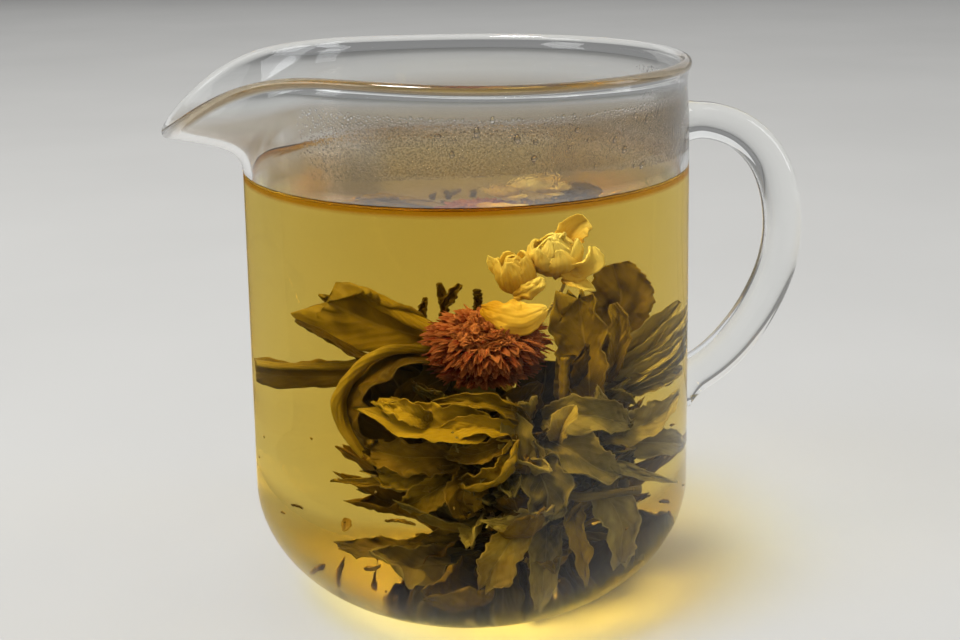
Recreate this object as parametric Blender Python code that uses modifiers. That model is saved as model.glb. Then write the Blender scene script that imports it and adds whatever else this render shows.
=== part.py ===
"""Glass tea jug with a pulled spout and a side handle, holding tea and a sewn flowering-tea bloom.

Metres, +Z up. The origin is the middle of the flat foot. The spout points along -X and the handle
along +X, and the glass is symmetric about the plane Y = 0. The bloom is one loose bundle that
stands on the floor of the jug and lifts straight out along +Z, so its parent empty is on that axis.
"""

import math

import bmesh
import bpy
import numpy as np

MM = 0.001
FULL_TURN = 2.0 * math.pi

# ---- glass jug
HEIGHT = 130.0 * MM  # foot to the top of the rim at the handle's side
WALL = 2.0 * MM
FLOOR = 2.5 * MM
WALL_RADIUS = 52.5 * MM  # outside, at WALL_LEVEL
WALL_LEVEL = 60.6 * MM
WALL_SLOPE = -0.02166  # the outside narrows by this much for each unit of height
CORNER_REACH = 31.9 * MM  # how far the rounded bottom corner reaches in from the wall
CORNER_RISE = 28.2 * MM  # and up from the foot
CORNER_POWER = 1.055  # 1 is an ellipse, larger is squarer
RIM_RADIUS = 50.15 * MM  # to the middle of the rim bead
BEAD = 1.4 * MM  # radius of the rim bead

# ---- spout, drawn out of the rim towards -X
SPOUT_HALF_ANGLE = 0.90
SPOUT_REACH = 17.3 * MM
SPOUT_DROP = 12.7 * MM
SPOUT_PLAN_POWER = 2.4
SPOUT_DROP_POWER = 4.8
SPOUT_THROAT_POWER = 2.5
SHOULDER_RISE = 1.0 * MM  # the rim stands higher on each side of the spout
SHOULDER_ANGLE = 0.84  # measured from the spout's middle line
SHOULDER_SPREAD = 0.49

# ---- neck: a curve from the wall to the rim, by way of a knee and a waist. The throat's numbers
# ---- are how much lower, or farther out, each point lies on the spout's middle line.
NECK_START = 117.0 * MM
NECK_START_THROAT = 12.0 * MM
NECK_KNEE = 122.0 * MM
NECK_KNEE_THROAT = 8.8 * MM
NECK_KNEE_INSET = 0.3 * MM
NECK_WAIST_RADIUS = 49.1 * MM
NECK_WAIST_REACH = 7.4 * MM
NECK_WAIST = 125.5 * MM
NECK_WAIST_THROAT = 12.5 * MM

# ---- handle, a solid glass bar bent into a D
HANDLE_LINE = (  # distance from the jug's axis and height, root to root
    (51.0, 113.0),
    (59.7, 112.6),
    (67.6, 109.4),
    (73.9, 103.2),
    (77.6, 95.0),
    (79.0, 86.0),
    (78.1, 77.0),
    (75.1, 68.6),
    (70.1, 60.2),
    (62.8, 52.4),
    (52.0, 45.6),
)
HANDLE_THICK_TOP = 8.6 * MM
HANDLE_THICK_LOW = 9.8 * MM
HANDLE_WIDTH = 8.6 * MM
HANDLE_SQUARENESS = 3.0
HANDLE_SECTIONS = 28
HANDLE_SIDES = 16
ROOT_FLARE = 0.38  # extra size where the bar is fused to the wall
ROOT_FLARE_LENGTH = 5.0 * MM

# ---- tea
TEA_LEVEL = 105.6 * MM
TEA_SKIN = 3.0 * MM
TEA_STEPS = 40
GAP = 0.3 * MM

# ---- bloom
BLOOM_TURN = math.radians(-10.0)
BLOOM_X = 8.0 * MM
BLOOM_Y = -1.0 * MM
LEAF_THICKNESS = 0.7 * MM
LEAF_BASE = 0.22  # share of the leaf's width kept at both of its ends
LEAF_WIDEST = 1.3  # 1 is widest half way along, larger is nearer the tip
LEAF_FULLNESS = 0.8  # smaller is fuller
TIER_LEAF_ROLL = 0.18
CORE_RADIUS = 7.0 * MM
CORE_BOTTOM = 5.9 * MM
CORE_TOP = 39.0 * MM
CORE_BLUNTNESS = 0.45  # smaller is blunter at the ends
CORE_WAIST = 0.66  # share of the radius left where the thread binds it
CORE_WAIST_SPREAD = 3.2 * MM
THREAD_RADIUS = 0.45 * MM
THREAD_STANDOFF = 0.5 * MM

# ---- mesh density
AROUND_SPOUT = 22
AROUND_BACK = 26
CORNER_ROWS = 7
WALL_ROWS = 3
NECK_ROWS = 6
CAP_ROWS = 3

# Leaf tiers: count, first azimuth, base radius, base height, start and end pitch, length, width.
TIERS = (
    ("outer_leaf", 9, 12.0, 8.2, 13.0, -12.0, 30.0, 25.0, 13.0),
    ("middle_leaf", 9, 32.0, 8.4, 20.0, 14.0, 34.0, 26.0, 14.0),
    ("inner_leaf", 8, 10.0, 8.2, 28.0, 38.0, 52.0, 24.0, 12.5),
    ("crown_leaf", 6, 40.0, 6.6, 42.0, 62.0, 34.0, 17.0, 8.0),
)

# Leaves that stand out of the bundle: azimuth, base radius, base height, start and end pitch,
# length, width and how far the blade rolls in at its edges.
LONG_LEAVES = (
    ("strap_leaf", 180.0, 17.0, 52.5, 8.0, -4.0, 34.0, 7.0, 0.35),
    ("broad_leaf", 162.0, 10.0, 58.5, 20.0, 38.0, 33.0, 15.0, 0.30),
    ("curled_leaf", 206.0, 15.5, 45.5, 50.0, 10.0, 24.0, 11.0, 0.45),
    ("serrated_leaf", 34.0, 14.0, 56.0, 62.0, 78.0, 27.0, 14.0, 0.25),
    ("folded_leaf", 8.0, 17.0, 54.0, 60.0, 30.0, 24.0, 12.0, 0.30),
    ("sprig", 118.0, 11.5, 60.0, 75.0, 82.0, 20.0, 3.6, 0.20),
)

# Flowers: middle in the bloom's own axes, then radii. The loose petal is given as a long leaf is.
AMARANTH = ((3.0, -8.0, 66.2), (12.4, 12.0, 9.4))
JASMINE_LARGE = ((17.0, 1.0, 86.0), (6.6, 6.2, 6.8))
JASMINE_SMALL = ((8.2, -4.6, 81.2), (4.2, 4.0, 4.4))
JASMINE_PETAL = (236.0, 4.4, 76.6, 2.0, -12.0, 9.0, 7.0, 0.3)
BLOSSOM_THREAD = ((9.5, 8.0, 60.0), (12.5, 8.6, 68.0), (15.5, 6.5, 74.5), (17.0, 3.2, 78.6))

GLASS = ("glass", (0.93, 0.95, 0.94), 0.02)
TEA = ("tea_liquid", (0.62, 0.46, 0.13), 0.02)
LEAF = ("tea_leaf", (0.20, 0.19, 0.05), 0.55)
LEAF_LIGHT = ("pale_leaf", (0.33, 0.31, 0.08), 0.5)
THREAD = ("cotton", (0.75, 0.70, 0.55), 0.9)
AMARANTH_RED = ("amaranth_red", (0.62, 0.20, 0.13), 0.7)
JASMINE = ("jasmine", (0.90, 0.80, 0.42), 0.6)


def clear_scene():
    for obj in list(bpy.data.objects):
        bpy.data.objects.remove(obj, do_unlink=True)


def new_collection(name):
    collection = bpy.data.collections.new(name)
    bpy.context.scene.collection.children.link(collection)
    return collection


def give_material(obj, finish):
    name, colour, roughness = finish
    material = bpy.data.materials.new(f"{obj.name}_{name}")
    material.use_nodes = True
    shader = material.node_tree.nodes["Principled BSDF"]
    shader.inputs["Base Color"].default_value = (*colour, 1.0)
    shader.inputs["Roughness"].default_value = roughness
    if name in ("glass", "tea_liquid"):
        shader.inputs["Transmission Weight"].default_value = 1.0
        shader.inputs["IOR"].default_value = 1.47 if name == "glass" else 1.33
    obj.data.materials.append(material)


def object_from(name, verts, faces, collection, finish, parent=None):
    """A mesh object with outward faces, shaded smooth except along sharp edges."""
    mesh = bpy.data.meshes.new(name)
    mesh.from_pydata([tuple(v) for v in verts], [], faces)
    built = bmesh.new()
    built.from_mesh(mesh)
    bmesh.ops.recalc_face_normals(built, faces=built.faces)
    built.to_mesh(mesh)
    built.free()
    mesh.shade_smooth()
    mesh.set_sharp_from_angle(angle=math.radians(50.0))
    obj = bpy.data.objects.new(name, mesh)
    collection.objects.link(obj)
    obj.parent = parent
    give_material(obj, finish)
    return obj


# ------------------------------------------------------------------------------- the glass shell


def wall_radius(height):
    """Outside radius of the jug's wall at a height above its rounded corner."""
    return WALL_RADIUS + WALL_SLOPE * (height - WALL_LEVEL)


def spout_share(angle):
    """1 on the spout's middle line, falling to 0 at its sides."""
    across = (angle - math.pi) / SPOUT_HALF_ANGLE
    return math.cos(0.5 * math.pi * across) if abs(across) < 1.0 else 0.0


def shoulder(angle):
    """How much higher the rim stands at this angle, beside the spout."""
    away = abs(angle % FULL_TURN - math.pi)
    return SHOULDER_RISE * math.exp(-(((away - SHOULDER_ANGLE) / SHOULDER_SPREAD) ** 2))


def bezier(points, t):
    a, b, c, d = (np.array(p) for p in points)
    s = 1.0 - t
    return s**3 * a + 3 * s * s * t * b + 3 * s * t * t * c + t**3 * d


def meridian(angle):
    """Middle line of the glass in the half plane at this angle: (radius, height, half thickness)."""
    half = WALL / 2
    floor_half = FLOOR / 2
    base_radius = wall_radius(CORNER_RISE)
    line = [(0.0, floor_half, floor_half)]
    for row in range(CORNER_ROWS + 1):
        t = 0.5 * math.pi * (1 - row / CORNER_ROWS)
        share = row / CORNER_ROWS
        thick = floor_half + (half - floor_half) * share
        inward = (CORNER_REACH - thick) * (1 - max(math.cos(t), 0.0) ** CORNER_POWER)
        up = (CORNER_RISE - thick) * (1 - math.sin(t) ** CORNER_POWER)
        line.append((base_radius - thick - inward, thick + up, thick))
    share = spout_share(angle)
    throat = share**SPOUT_THROAT_POWER
    start = NECK_START - NECK_START_THROAT * throat
    for row in range(1, WALL_ROWS + 1):
        height = CORNER_RISE + (start - CORNER_RISE) * row / WALL_ROWS
        line.append((wall_radius(height) - half, height, half))
    neck = (
        (wall_radius(start) - half, start),
        (wall_radius(start) - half - NECK_KNEE_INSET, NECK_KNEE - NECK_KNEE_THROAT * throat),
        (NECK_WAIST_RADIUS + NECK_WAIST_REACH * throat, NECK_WAIST - NECK_WAIST_THROAT * throat),
        (
            RIM_RADIUS + SPOUT_REACH * share**SPOUT_PLAN_POWER,
            HEIGHT - BEAD + shoulder(angle) - SPOUT_DROP * share**SPOUT_DROP_POWER,
        ),
    )
    for row in range(1, NECK_ROWS + 1):
        t = row / NECK_ROWS
        radius, height = bezier(neck, t)
        line.append((radius, height, half + (BEAD - half) * t**4))
    return line


def jug_angles():
    """Angles around the jug, closer together across the spout."""
    low = math.pi - SPOUT_HALF_ANGLE
    spout = [low + 2 * SPOUT_HALF_ANGLE * k / AROUND_SPOUT for k in range(AROUND_SPOUT)]
    rest = FULL_TURN - 2 * SPOUT_HALF_ANGLE
    high = math.pi + SPOUT_HALF_ANGLE
    return spout + [high + rest * k / AROUND_BACK for k in range(AROUND_BACK)]


def jug_surfaces():
    """Outer, rounded lip and inner points of the glass, each [row, angle, xyz]."""
    angles = np.array(jug_angles())
    lines = np.array([meridian(a % FULL_TURN) for a in angles]).transpose(1, 0, 2)
    radius, height, half = lines[..., 0], lines[..., 1], lines[..., 2]
    middle = np.stack([radius * np.cos(angles), radius * np.sin(angles), height], -1)
    along = np.gradient(middle, axis=0)
    around = np.roll(middle, -1, axis=1) - np.roll(middle, 1, axis=1)
    around[0] = around[1]
    normal = np.cross(around, along)
    normal /= np.linalg.norm(normal, axis=-1, keepdims=True)
    normal[:2] = (0.0, 0.0, -1.0)
    thick = half[..., None]
    outer = middle + normal * thick
    inner = middle - normal * thick
    lip_side = np.cross(normal[-1], around[-1])
    lip_side /= np.linalg.norm(lip_side, axis=-1, keepdims=True)
    lip_side *= np.sign(np.sum(lip_side * along[-1], axis=-1, keepdims=True))
    cap = []
    for row in range(1, CAP_ROWS + 1):
        turn = math.pi * row / (CAP_ROWS + 1)
        cap.append(middle[-1] + thick[-1] * (math.cos(turn) * normal[-1] + math.sin(turn) * lip_side))
    return outer, np.array(cap), inner


def build_glass_body(collection):
    """Turned cup whose meridians swing out into the spout, closed over a round rim bead."""
    outer, cap, inner = jug_surfaces()
    rings = np.concatenate([outer[1:], cap, inner[:0:-1]])
    count = rings.shape[1]
    verts = [outer[0].mean(axis=0), inner[0].mean(axis=0)]
    verts += list(rings.reshape(-1, 3))
    last = len(rings) - 1
    faces = []
    for j in range(count):
        k = (j + 1) % count
        faces.append((0, 2 + k, 2 + j))
        for i in range(last):
            a, b = 2 + i * count, 2 + (i + 1) * count
            faces.append((a + j, a + k, b + k, b + j))
        faces.append((1, 2 + last * count + j, 2 + last * count + k))
    return object_from("glass_body", verts, faces, collection, GLASS)


# ------------------------------------------------------------------------------------- the handle


def smooth_line(points, samples):
    """Points at even steps along a smooth curve through the given ones."""
    points = np.array(points, float)
    padded = np.vstack([2 * points[0] - points[1], points, 2 * points[-1] - points[-2]])
    fine = []
    for k in range(len(points) - 1):
        p0, p1, p2, p3 = padded[k : k + 4]
        for t in np.linspace(0.0, 1.0, 24, endpoint=False):
            fine.append(
                0.5 * (2 * p1 + (p2 - p0) * t + (2 * p0 - 5 * p1 + 4 * p2 - p3) * t**2)
                + 0.5 * (3 * p1 - p0 - 3 * p2 + p3) * t**3
            )
    fine.append(points[-1])
    fine = np.array(fine)
    run = np.concatenate([[0.0], np.cumsum(np.linalg.norm(np.diff(fine, axis=0), axis=1))])
    wanted = np.linspace(0.0, run[-1], samples)
    return np.stack([np.interp(wanted, run, fine[:, k]) for k in range(fine.shape[1])], -1)


def build_handle(collection):
    """Rounded bar swept along the D, flared where it is fused to the wall at both roots."""
    line = smooth_line(HANDLE_LINE, HANDLE_SECTIONS) * MM
    tangent = np.gradient(line, axis=0)
    tangent /= np.linalg.norm(tangent, axis=1, keepdims=True)
    run = np.concatenate([[0.0], np.cumsum(np.linalg.norm(np.diff(line, axis=0), axis=1))])
    verts = []
    for k in range(HANDLE_SECTIONS):
        share = k / (HANDLE_SECTIONS - 1)
        thick = HANDLE_THICK_TOP + (HANDLE_THICK_LOW - HANDLE_THICK_TOP) * share
        to_root = min(run[k], run[-1] - run[k])
        flare = 1 + ROOT_FLARE * max(0.0, 1 - to_root / ROOT_FLARE_LENGTH) ** 2
        side = np.array([tangent[k][1], -tangent[k][0]])
        for s in range(HANDLE_SIDES):
            turn = FULL_TURN * s / HANDLE_SIDES
            c, d = math.cos(turn), math.sin(turn)
            power = 2 / HANDLE_SQUARENESS
            u = math.copysign(abs(c) ** power, c) * thick / 2 * flare
            v = math.copysign(abs(d) ** power, d) * HANDLE_WIDTH / 2 * flare
            x, z = line[k] + side * u
            at_root = k in (0, HANDLE_SECTIONS - 1)
            wall = wall_contact(v, z)
            verts.append([wall if at_root else max(x, wall), v, z])
    for _, z in (line[0], line[-1]):
        verts.append([wall_contact(0.0, z), 0.0, z])
    faces = []
    for k in range(HANDLE_SECTIONS - 1):
        a, b = k * HANDLE_SIDES, (k + 1) * HANDLE_SIDES
        for s in range(HANDLE_SIDES):
            t = (s + 1) % HANDLE_SIDES
            faces.append((a + s, a + t, b + t, b + s))
    top, low = HANDLE_SECTIONS * HANDLE_SIDES, HANDLE_SECTIONS * HANDLE_SIDES + 1
    start = (HANDLE_SECTIONS - 1) * HANDLE_SIDES
    for s in range(HANDLE_SIDES):
        t = (s + 1) % HANDLE_SIDES
        faces.append((top, t, s))
        faces.append((low, start + s, start + t))
    return object_from("handle", verts, faces, collection, GLASS)


def wall_contact(y, z):
    """How far along X the bar ends, just off the outside of the wall."""
    reach = wall_radius(z) + GAP
    return math.sqrt(reach * reach - y * y)


# ---------------------------------------------------------------------------------------- the tea


def build_tea(collection):
    """The layer of tea against the glass, turned from the glass's own inner outline."""
    line = np.array([p for p in meridian(0.0) if p[1] < TEA_LEVEL])
    level = np.array([[wall_radius(TEA_LEVEL) - WALL / 2, TEA_LEVEL, WALL / 2]])
    line = np.concatenate([line, level])
    along = np.gradient(line[:, :2], axis=0)
    along[0] = (1.0, 0.0)
    along[-1] = (0.0, 1.0)
    along /= np.linalg.norm(along, axis=1, keepdims=True)
    inward = np.stack([-along[:, 1], along[:, 0]], -1)
    wet = line[:, :2] + inward * (line[:, 2:3] + GAP)
    dry = line[:, :2] + inward * (line[:, 2:3] + TEA_SKIN)
    wet[0, 0] = dry[0, 0] = 0.0
    wet[-1, 1] = dry[-1, 1] = TEA_LEVEL
    outline = np.concatenate([wet, dry[::-1]])
    mesh = bpy.data.meshes.new("tea")
    edges = [(k, k + 1) for k in range(len(outline) - 1)]
    mesh.from_pydata([(x, 0.0, z) for x, z in outline[::-1]], edges, [])
    obj = bpy.data.objects.new("tea", mesh)
    collection.objects.link(obj)
    screw = obj.modifiers.new("turn", "SCREW")
    screw.axis = "Z"
    screw.angle = FULL_TURN
    screw.steps = screw.render_steps = TEA_STEPS
    screw.use_merge_vertices = True
    screw.merge_threshold = 0.0001
    screw.use_smooth_shade = True
    give_material(obj, TEA)
    return obj


# -------------------------------------------------------------------------------------- the bloom


def leaf_blade(name, leaf, collection, parent, finish):
    """A blade that leaves the bundle at one pitch and bends evenly to another."""
    azimuth, base_radius, base_height, pitch, end_pitch, length, width, roll = leaf
    azimuth = math.radians(azimuth)
    out = np.array([math.cos(azimuth), math.sin(azimuth), 0.0])
    across = np.array([-math.sin(azimuth), math.cos(azimuth), 0.0])
    rows, columns = 7, 4
    spot = np.array([BLOOM_X, BLOOM_Y, base_height * MM]) + out * base_radius * MM
    verts = []
    for i in range(rows + 1):
        share = i / rows
        slope = math.radians(pitch + (end_pitch - pitch) * share)
        forward = out * math.cos(slope) + np.array([0.0, 0.0, math.sin(slope)])
        upward = np.cross(forward, across)
        if i:
            spot = spot + forward * length * MM / rows
        swell = max(math.sin(math.pi * share**LEAF_WIDEST), 0.0) ** LEAF_FULLNESS
        spread = 0.5 * width * MM * (LEAF_BASE + (1 - LEAF_BASE) * swell)
        for j in range(columns + 1):
            v = 2 * j / columns - 1
            lift = roll * spread * v * v
            verts.append(spot + across * spread * v + upward * lift)
    faces = []
    for i in range(rows):
        for j in range(columns):
            a = i * (columns + 1) + j
            faces.append((a, a + 1, a + columns + 2, a + columns + 1))
    mesh = bpy.data.meshes.new(name)
    mesh.from_pydata([tuple(v) for v in verts], [], faces)
    mesh.shade_smooth()
    obj = bpy.data.objects.new(name, mesh)
    collection.objects.link(obj)
    obj.parent = parent
    solid = obj.modifiers.new("thickness", "SOLIDIFY")
    solid.thickness = LEAF_THICKNESS
    solid.offset = 0.0
    give_material(obj, finish)
    return obj


def build_tiers(collection, parent):
    for name, count, first, radius, height, pitch, end, length, width in TIERS:
        for k in range(count):
            azimuth = first + 360.0 * k / count
            stretch = 1.0 + 0.10 * math.sin(2.3 * k + height)
            leaf = (azimuth, radius, height, pitch, end, length * stretch, width, TIER_LEAF_ROLL)
            leaf_blade(f"{name}_{k + 1}", leaf, collection, parent, LEAF)


def build_long_leaves(collection, parent):
    for name, *leaf in LONG_LEAVES:
        leaf_blade(name, leaf, collection, parent, LEAF_LIGHT)


def turned(name, profile, place, collection, parent, finish, steps=20):
    """A solid turned about its own upright axis; the profile runs from the bottom to the top."""
    mesh = bpy.data.meshes.new(name)
    points = [(r, 0.0, z) for r, z in reversed(profile)]
    mesh.from_pydata(points, [(k, k + 1) for k in range(len(points) - 1)], [])
    obj = bpy.data.objects.new(name, mesh)
    collection.objects.link(obj)
    obj.parent = parent
    obj.location = place
    screw = obj.modifiers.new("turn", "SCREW")
    screw.axis = "Z"
    screw.steps = screw.render_steps = steps
    screw.use_merge_vertices = True
    screw.merge_threshold = 0.00005
    screw.use_smooth_shade = True
    give_material(obj, finish)
    return obj


def build_leaf_core(collection, parent):
    """The tied stalks at the heart of the bundle, waisted where the thread binds them."""
    middle = (CORE_BOTTOM + CORE_TOP) / 2
    profile = []
    for k in range(13):
        share = k / 12
        height = CORE_BOTTOM + (CORE_TOP - CORE_BOTTOM) * share
        bulge = max(math.sin(math.pi * share), 0.0) ** CORE_BLUNTNESS
        waist = (1 - CORE_WAIST) * math.exp(-(((height - middle) / CORE_WAIST_SPREAD) ** 2))
        profile.append((CORE_RADIUS * bulge * (1 - waist), height))
    profile[0] = (0.0, CORE_BOTTOM)
    profile[-1] = (0.0, CORE_TOP)
    turned("leaf_core", profile, (BLOOM_X, BLOOM_Y, 0.0), collection, parent, LEAF)


def build_binding_thread(collection, parent):
    """Cotton wound round the waist of the stalks."""
    bpy.ops.mesh.primitive_torus_add(
        major_segments=24,
        minor_segments=8,
        major_radius=CORE_RADIUS * CORE_WAIST + THREAD_STANDOFF + THREAD_RADIUS,
        minor_radius=THREAD_RADIUS,
        location=(BLOOM_X, BLOOM_Y, (CORE_BOTTOM + CORE_TOP) / 2),
    )
    obj = bpy.context.object
    obj.name = "binding_thread"
    for owner in list(obj.users_collection):
        owner.objects.unlink(obj)
    collection.objects.link(obj)
    obj.parent = parent
    obj.data.shade_smooth()
    give_material(obj, THREAD)


def flower_ball(name, spec, collection, parent, finish):
    """A plain rounded solid the size of the flower head."""
    (x, y, z), (a, b, c) = spec
    mesh = bpy.data.meshes.new(name)
    ball = bmesh.new()
    bmesh.ops.create_uvsphere(ball, u_segments=16, v_segments=9, radius=1.0)
    bmesh.ops.scale(ball, vec=(a * MM, b * MM, c * MM), verts=ball.verts)
    ball.to_mesh(mesh)
    ball.free()
    mesh.shade_smooth()
    obj = bpy.data.objects.new(name, mesh)
    obj.location = (x * MM, y * MM, z * MM)
    collection.objects.link(obj)
    obj.parent = parent
    give_material(obj, finish)
    return obj


def tube(name, points, radius, collection, parent, finish):
    curve = bpy.data.curves.new(name, "CURVE")
    curve.dimensions = "3D"
    curve.bevel_depth = radius
    curve.bevel_resolution = 2
    curve.use_fill_caps = True
    spline = curve.splines.new("POLY")
    route = smooth_line(points, 12) * MM
    spline.points.add(len(route) - 1)
    for spot, (x, y, z) in zip(spline.points, route):
        spot.co = (x, y, z, 1.0)
    obj = bpy.data.objects.new(name, curve)
    collection.objects.link(obj)
    obj.parent = parent
    give_material(obj, finish)
    return obj


def build_flowers(collection, parent):
    flower_ball("amaranth_head", AMARANTH, collection, parent, AMARANTH_RED)
    flower_ball("jasmine_large", JASMINE_LARGE, collection, parent, JASMINE)
    flower_ball("jasmine_small", JASMINE_SMALL, collection, parent, JASMINE)
    leaf_blade("jasmine_petal", JASMINE_PETAL, collection, parent, JASMINE)
    tube("blossom_thread", BLOSSOM_THREAD, THREAD_RADIUS, collection, parent, THREAD)


def main():
    clear_scene()
    part = new_collection("glass_teapot")
    build_glass_body(part)
    build_handle(part)
    build_tea(part)
    bloom = bpy.data.objects.new("bloom_axis", None)
    bloom.rotation_euler = (0.0, 0.0, BLOOM_TURN)
    part.objects.link(bloom)
    build_leaf_core(part, bloom)
    build_binding_thread(part, bloom)
    build_tiers(part, bloom)
    build_long_leaves(part, bloom)
    build_flowers(part, bloom)


main()
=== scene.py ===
"""Looks for the glass tea jug: clear glass, amber tea and the opened flowering-tea bloom inside it.

Lengths in this file are millimetres in the row frame, and are scaled to metres when a mesh is made.
The bloom is shaped in its own axes: +X to the camera's right, +Y away from the camera, +Z up.
"""

import math

import bpy
import numpy as np
from mathutils import Matrix, Vector


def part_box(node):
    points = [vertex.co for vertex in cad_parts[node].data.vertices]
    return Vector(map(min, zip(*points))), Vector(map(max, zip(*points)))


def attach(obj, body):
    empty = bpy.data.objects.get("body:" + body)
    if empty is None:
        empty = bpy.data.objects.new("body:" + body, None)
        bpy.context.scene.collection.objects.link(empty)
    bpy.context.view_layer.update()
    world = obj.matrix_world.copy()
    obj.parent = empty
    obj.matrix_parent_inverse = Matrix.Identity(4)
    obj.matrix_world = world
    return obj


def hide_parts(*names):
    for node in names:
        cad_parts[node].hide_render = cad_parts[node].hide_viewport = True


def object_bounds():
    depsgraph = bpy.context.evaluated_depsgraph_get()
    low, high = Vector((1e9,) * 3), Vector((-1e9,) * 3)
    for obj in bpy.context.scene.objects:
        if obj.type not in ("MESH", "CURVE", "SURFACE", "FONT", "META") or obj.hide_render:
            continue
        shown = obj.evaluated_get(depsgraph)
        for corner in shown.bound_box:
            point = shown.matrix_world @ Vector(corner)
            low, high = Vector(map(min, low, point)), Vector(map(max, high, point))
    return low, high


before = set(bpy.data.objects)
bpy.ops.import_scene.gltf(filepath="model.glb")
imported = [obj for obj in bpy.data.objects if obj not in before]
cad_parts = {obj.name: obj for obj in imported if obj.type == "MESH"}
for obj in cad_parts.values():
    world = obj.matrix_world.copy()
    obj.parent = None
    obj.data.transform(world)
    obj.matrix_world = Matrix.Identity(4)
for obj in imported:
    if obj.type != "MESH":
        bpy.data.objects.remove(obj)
cad_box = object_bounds()

MM = 0.001
TURN = 2.0 * math.pi
GOLDEN_TURN = 2.399963  # the golden angle, which spreads points evenly over a ball

# ---- glass jug, as in the CAD
HEIGHT = 130.0
WALL = 2.0
FLOOR = 2.5
WALL_RADIUS = 52.5
WALL_LEVEL = 60.6
WALL_SLOPE = -0.02166
CORNER_REACH = 31.9
CORNER_RISE = 28.2
CORNER_POWER = 1.055
RIM_RADIUS = 50.15
BEAD = 1.4
SPOUT_HALF_ANGLE = 0.90
SPOUT_REACH = 17.3
SPOUT_DROP = 12.7
SPOUT_PLAN_POWER = 2.4
SPOUT_DROP_POWER = 4.8
SPOUT_THROAT_POWER = 2.5
SHOULDER_RISE = 1.0
SHOULDER_ANGLE = 0.84
SHOULDER_SPREAD = 0.49
NECK_START = (117.0, -12.0)  # levels and radii of the neck, and how much each moves at the spout
NECK_LOW = (122.0, -8.8)
NECK_HIGH = (125.5, -12.5)
NECK_RADIUS = (49.1, 7.4)
SPOUT_COLUMNS = 72
ROUND_COLUMNS = 108

HANDLE_LINE = ((51.0, 113.0), (59.7, 112.6), (67.6, 109.4), (73.9, 103.2), (77.6, 95.0), (79.0, 86.0),
               (78.1, 77.0), (75.1, 68.6), (70.1, 60.2), (62.8, 52.4), (52.0, 45.6))
HANDLE_THICK_TOP = 8.6
HANDLE_THICK_LOW = 9.8
HANDLE_WIDTH = 8.6
HANDLE_SQUARENESS = 2.7
HANDLE_SECTIONS = 150
HANDLE_SIDES = 48
ROOT_FLARE = 0.34
ROOT_FLARE_LENGTH = 6.5
ROOT_EMBED = 0.15

TEA_LEVEL = 105.6
TEA_OVERLAP = 0.06  # the liquid reaches this far into the glass, so no air shows between them
MENISCUS_RISE = 0.4  # the contact line stands this far above the CAD's level
MENISCUS_DIP = 1.0  # and the open surface this far below it
MENISCUS_WIDTH = 1.5
MENISCUS_EDGE = 0.25  # the steepest part of the climb, right at the glass
SURFACE_INSETS = (0.07, 0.15, 0.25, 0.4, 0.6, 0.9, 1.3, 1.8, 2.4, 3.2, 4.2, 5.6, 8.0, 14.0, 24.0, 36.0)

WALL_CLEARANCE = 0.8
MOUTH_REACH = 47.0
STEEP_RADIUS = 30.0  # outside this radius the glass is a wall to keep off, inside it a floor

# ---- glass and liquid
GLASS_IOR = 1.47
WATER_IOR = 1.333
GLASS_COLOUR = (0.975, 0.985, 0.98)
# painted amber tint for the misted band, the haze over the tea and the front rim bead, standing in for the
# tea seen through the glass
PAINTED_TEA_TINT_COLOUR = (0.37, 0.265, 0.145)
# painted golden tint along the meniscus, standing in for light bent and reflected where the tea climbs the
# glass
PAINTED_MENISCUS_COLOUR = (0.75, 0.46, 0.06)
TEA_COLOUR = (0.87, 0.73, 0.05)
TEA_DENSITY = 30.0
# share of the painted amber tint in the haze just above the tea
HAZE_PAINTED_TINT = 0.9
FOOT_BLUR = 0.16
DROP_FADE = 0.05

MIST_FROM = -2.55  # angles round the jug
MIST_TO = 0.35
DROPS_TOP = 124.0
DROPS_LOW = 111.0
DROPS = 26000  # tries, of which those that find room are kept
RUNS = 36  # larger drops that have run together
DROP_SIDES = 6
DROP_EMBED = 0.05
DROP_RADIUS = 49.0  # the inner wall's radius, to lay the drops out on
DROP_CELL = 0.8

# ---- shares of light, from 0 to 1
OUTER_BARE_LEFT = 0.92  # share of the mirrored room left out of the wall's outside, to see in clearly
OUTER_BARE_RIGHT = 0.05
OUTER_BARE_UPPER = 0.65
FOOT_BARE = 0.35
WALL_LEAK = 0.45  # share of the light trapped by total reflection that gets straight out of the wall
FOOT_LEAK = 0.5
VEIL_FROM = -1.62  # angle round the jug where the mirrored veil on its right begins
# levels where the shares change, each with the height over which it does so
VEIL_FADE = (40, 35)
FOOT_FADE = (34, -14)
BARE_FADE = (120, -6)
BLUR_FADE = (24, -12)
MIST_LOW_FADE = (109.5, 3)
MIST_TOP_FADE = (125.0, -4)
HAZE_LOW_FADE = (TEA_LEVEL, 2)
HAZE_TOP_FADE = (121.0, -5)
WHOLLY_MIRRORED = 0.999
LEAK_FROM = 0.08  # the mirrored share from which trapped light may leak

LEAF_SHINE = 0.12
LEAF_THROUGH = 0.28  # share of light that shines through a leaf
PETAL_THROUGH = 0.35

BLOOM_TURN = math.radians(-10.0)
BLOOM_AXES = Matrix.Rotation(BLOOM_TURN, 4, "Z")

# ---- camera, in the row frame
CAMERA_PLACE = (-52.47, -312.59, 166.77)
CAMERA_TURN = math.radians(-10.0)
CAMERA_DOWN = 0.30554
CAMERA_ROLL = -0.016393
CAMERA_LENS = 51.44
LIGHT_BOUNCES = 40  # light crosses up to a dozen glass and tea surfaces on its way through the jug


# ---------------- meshes and nodes


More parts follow.
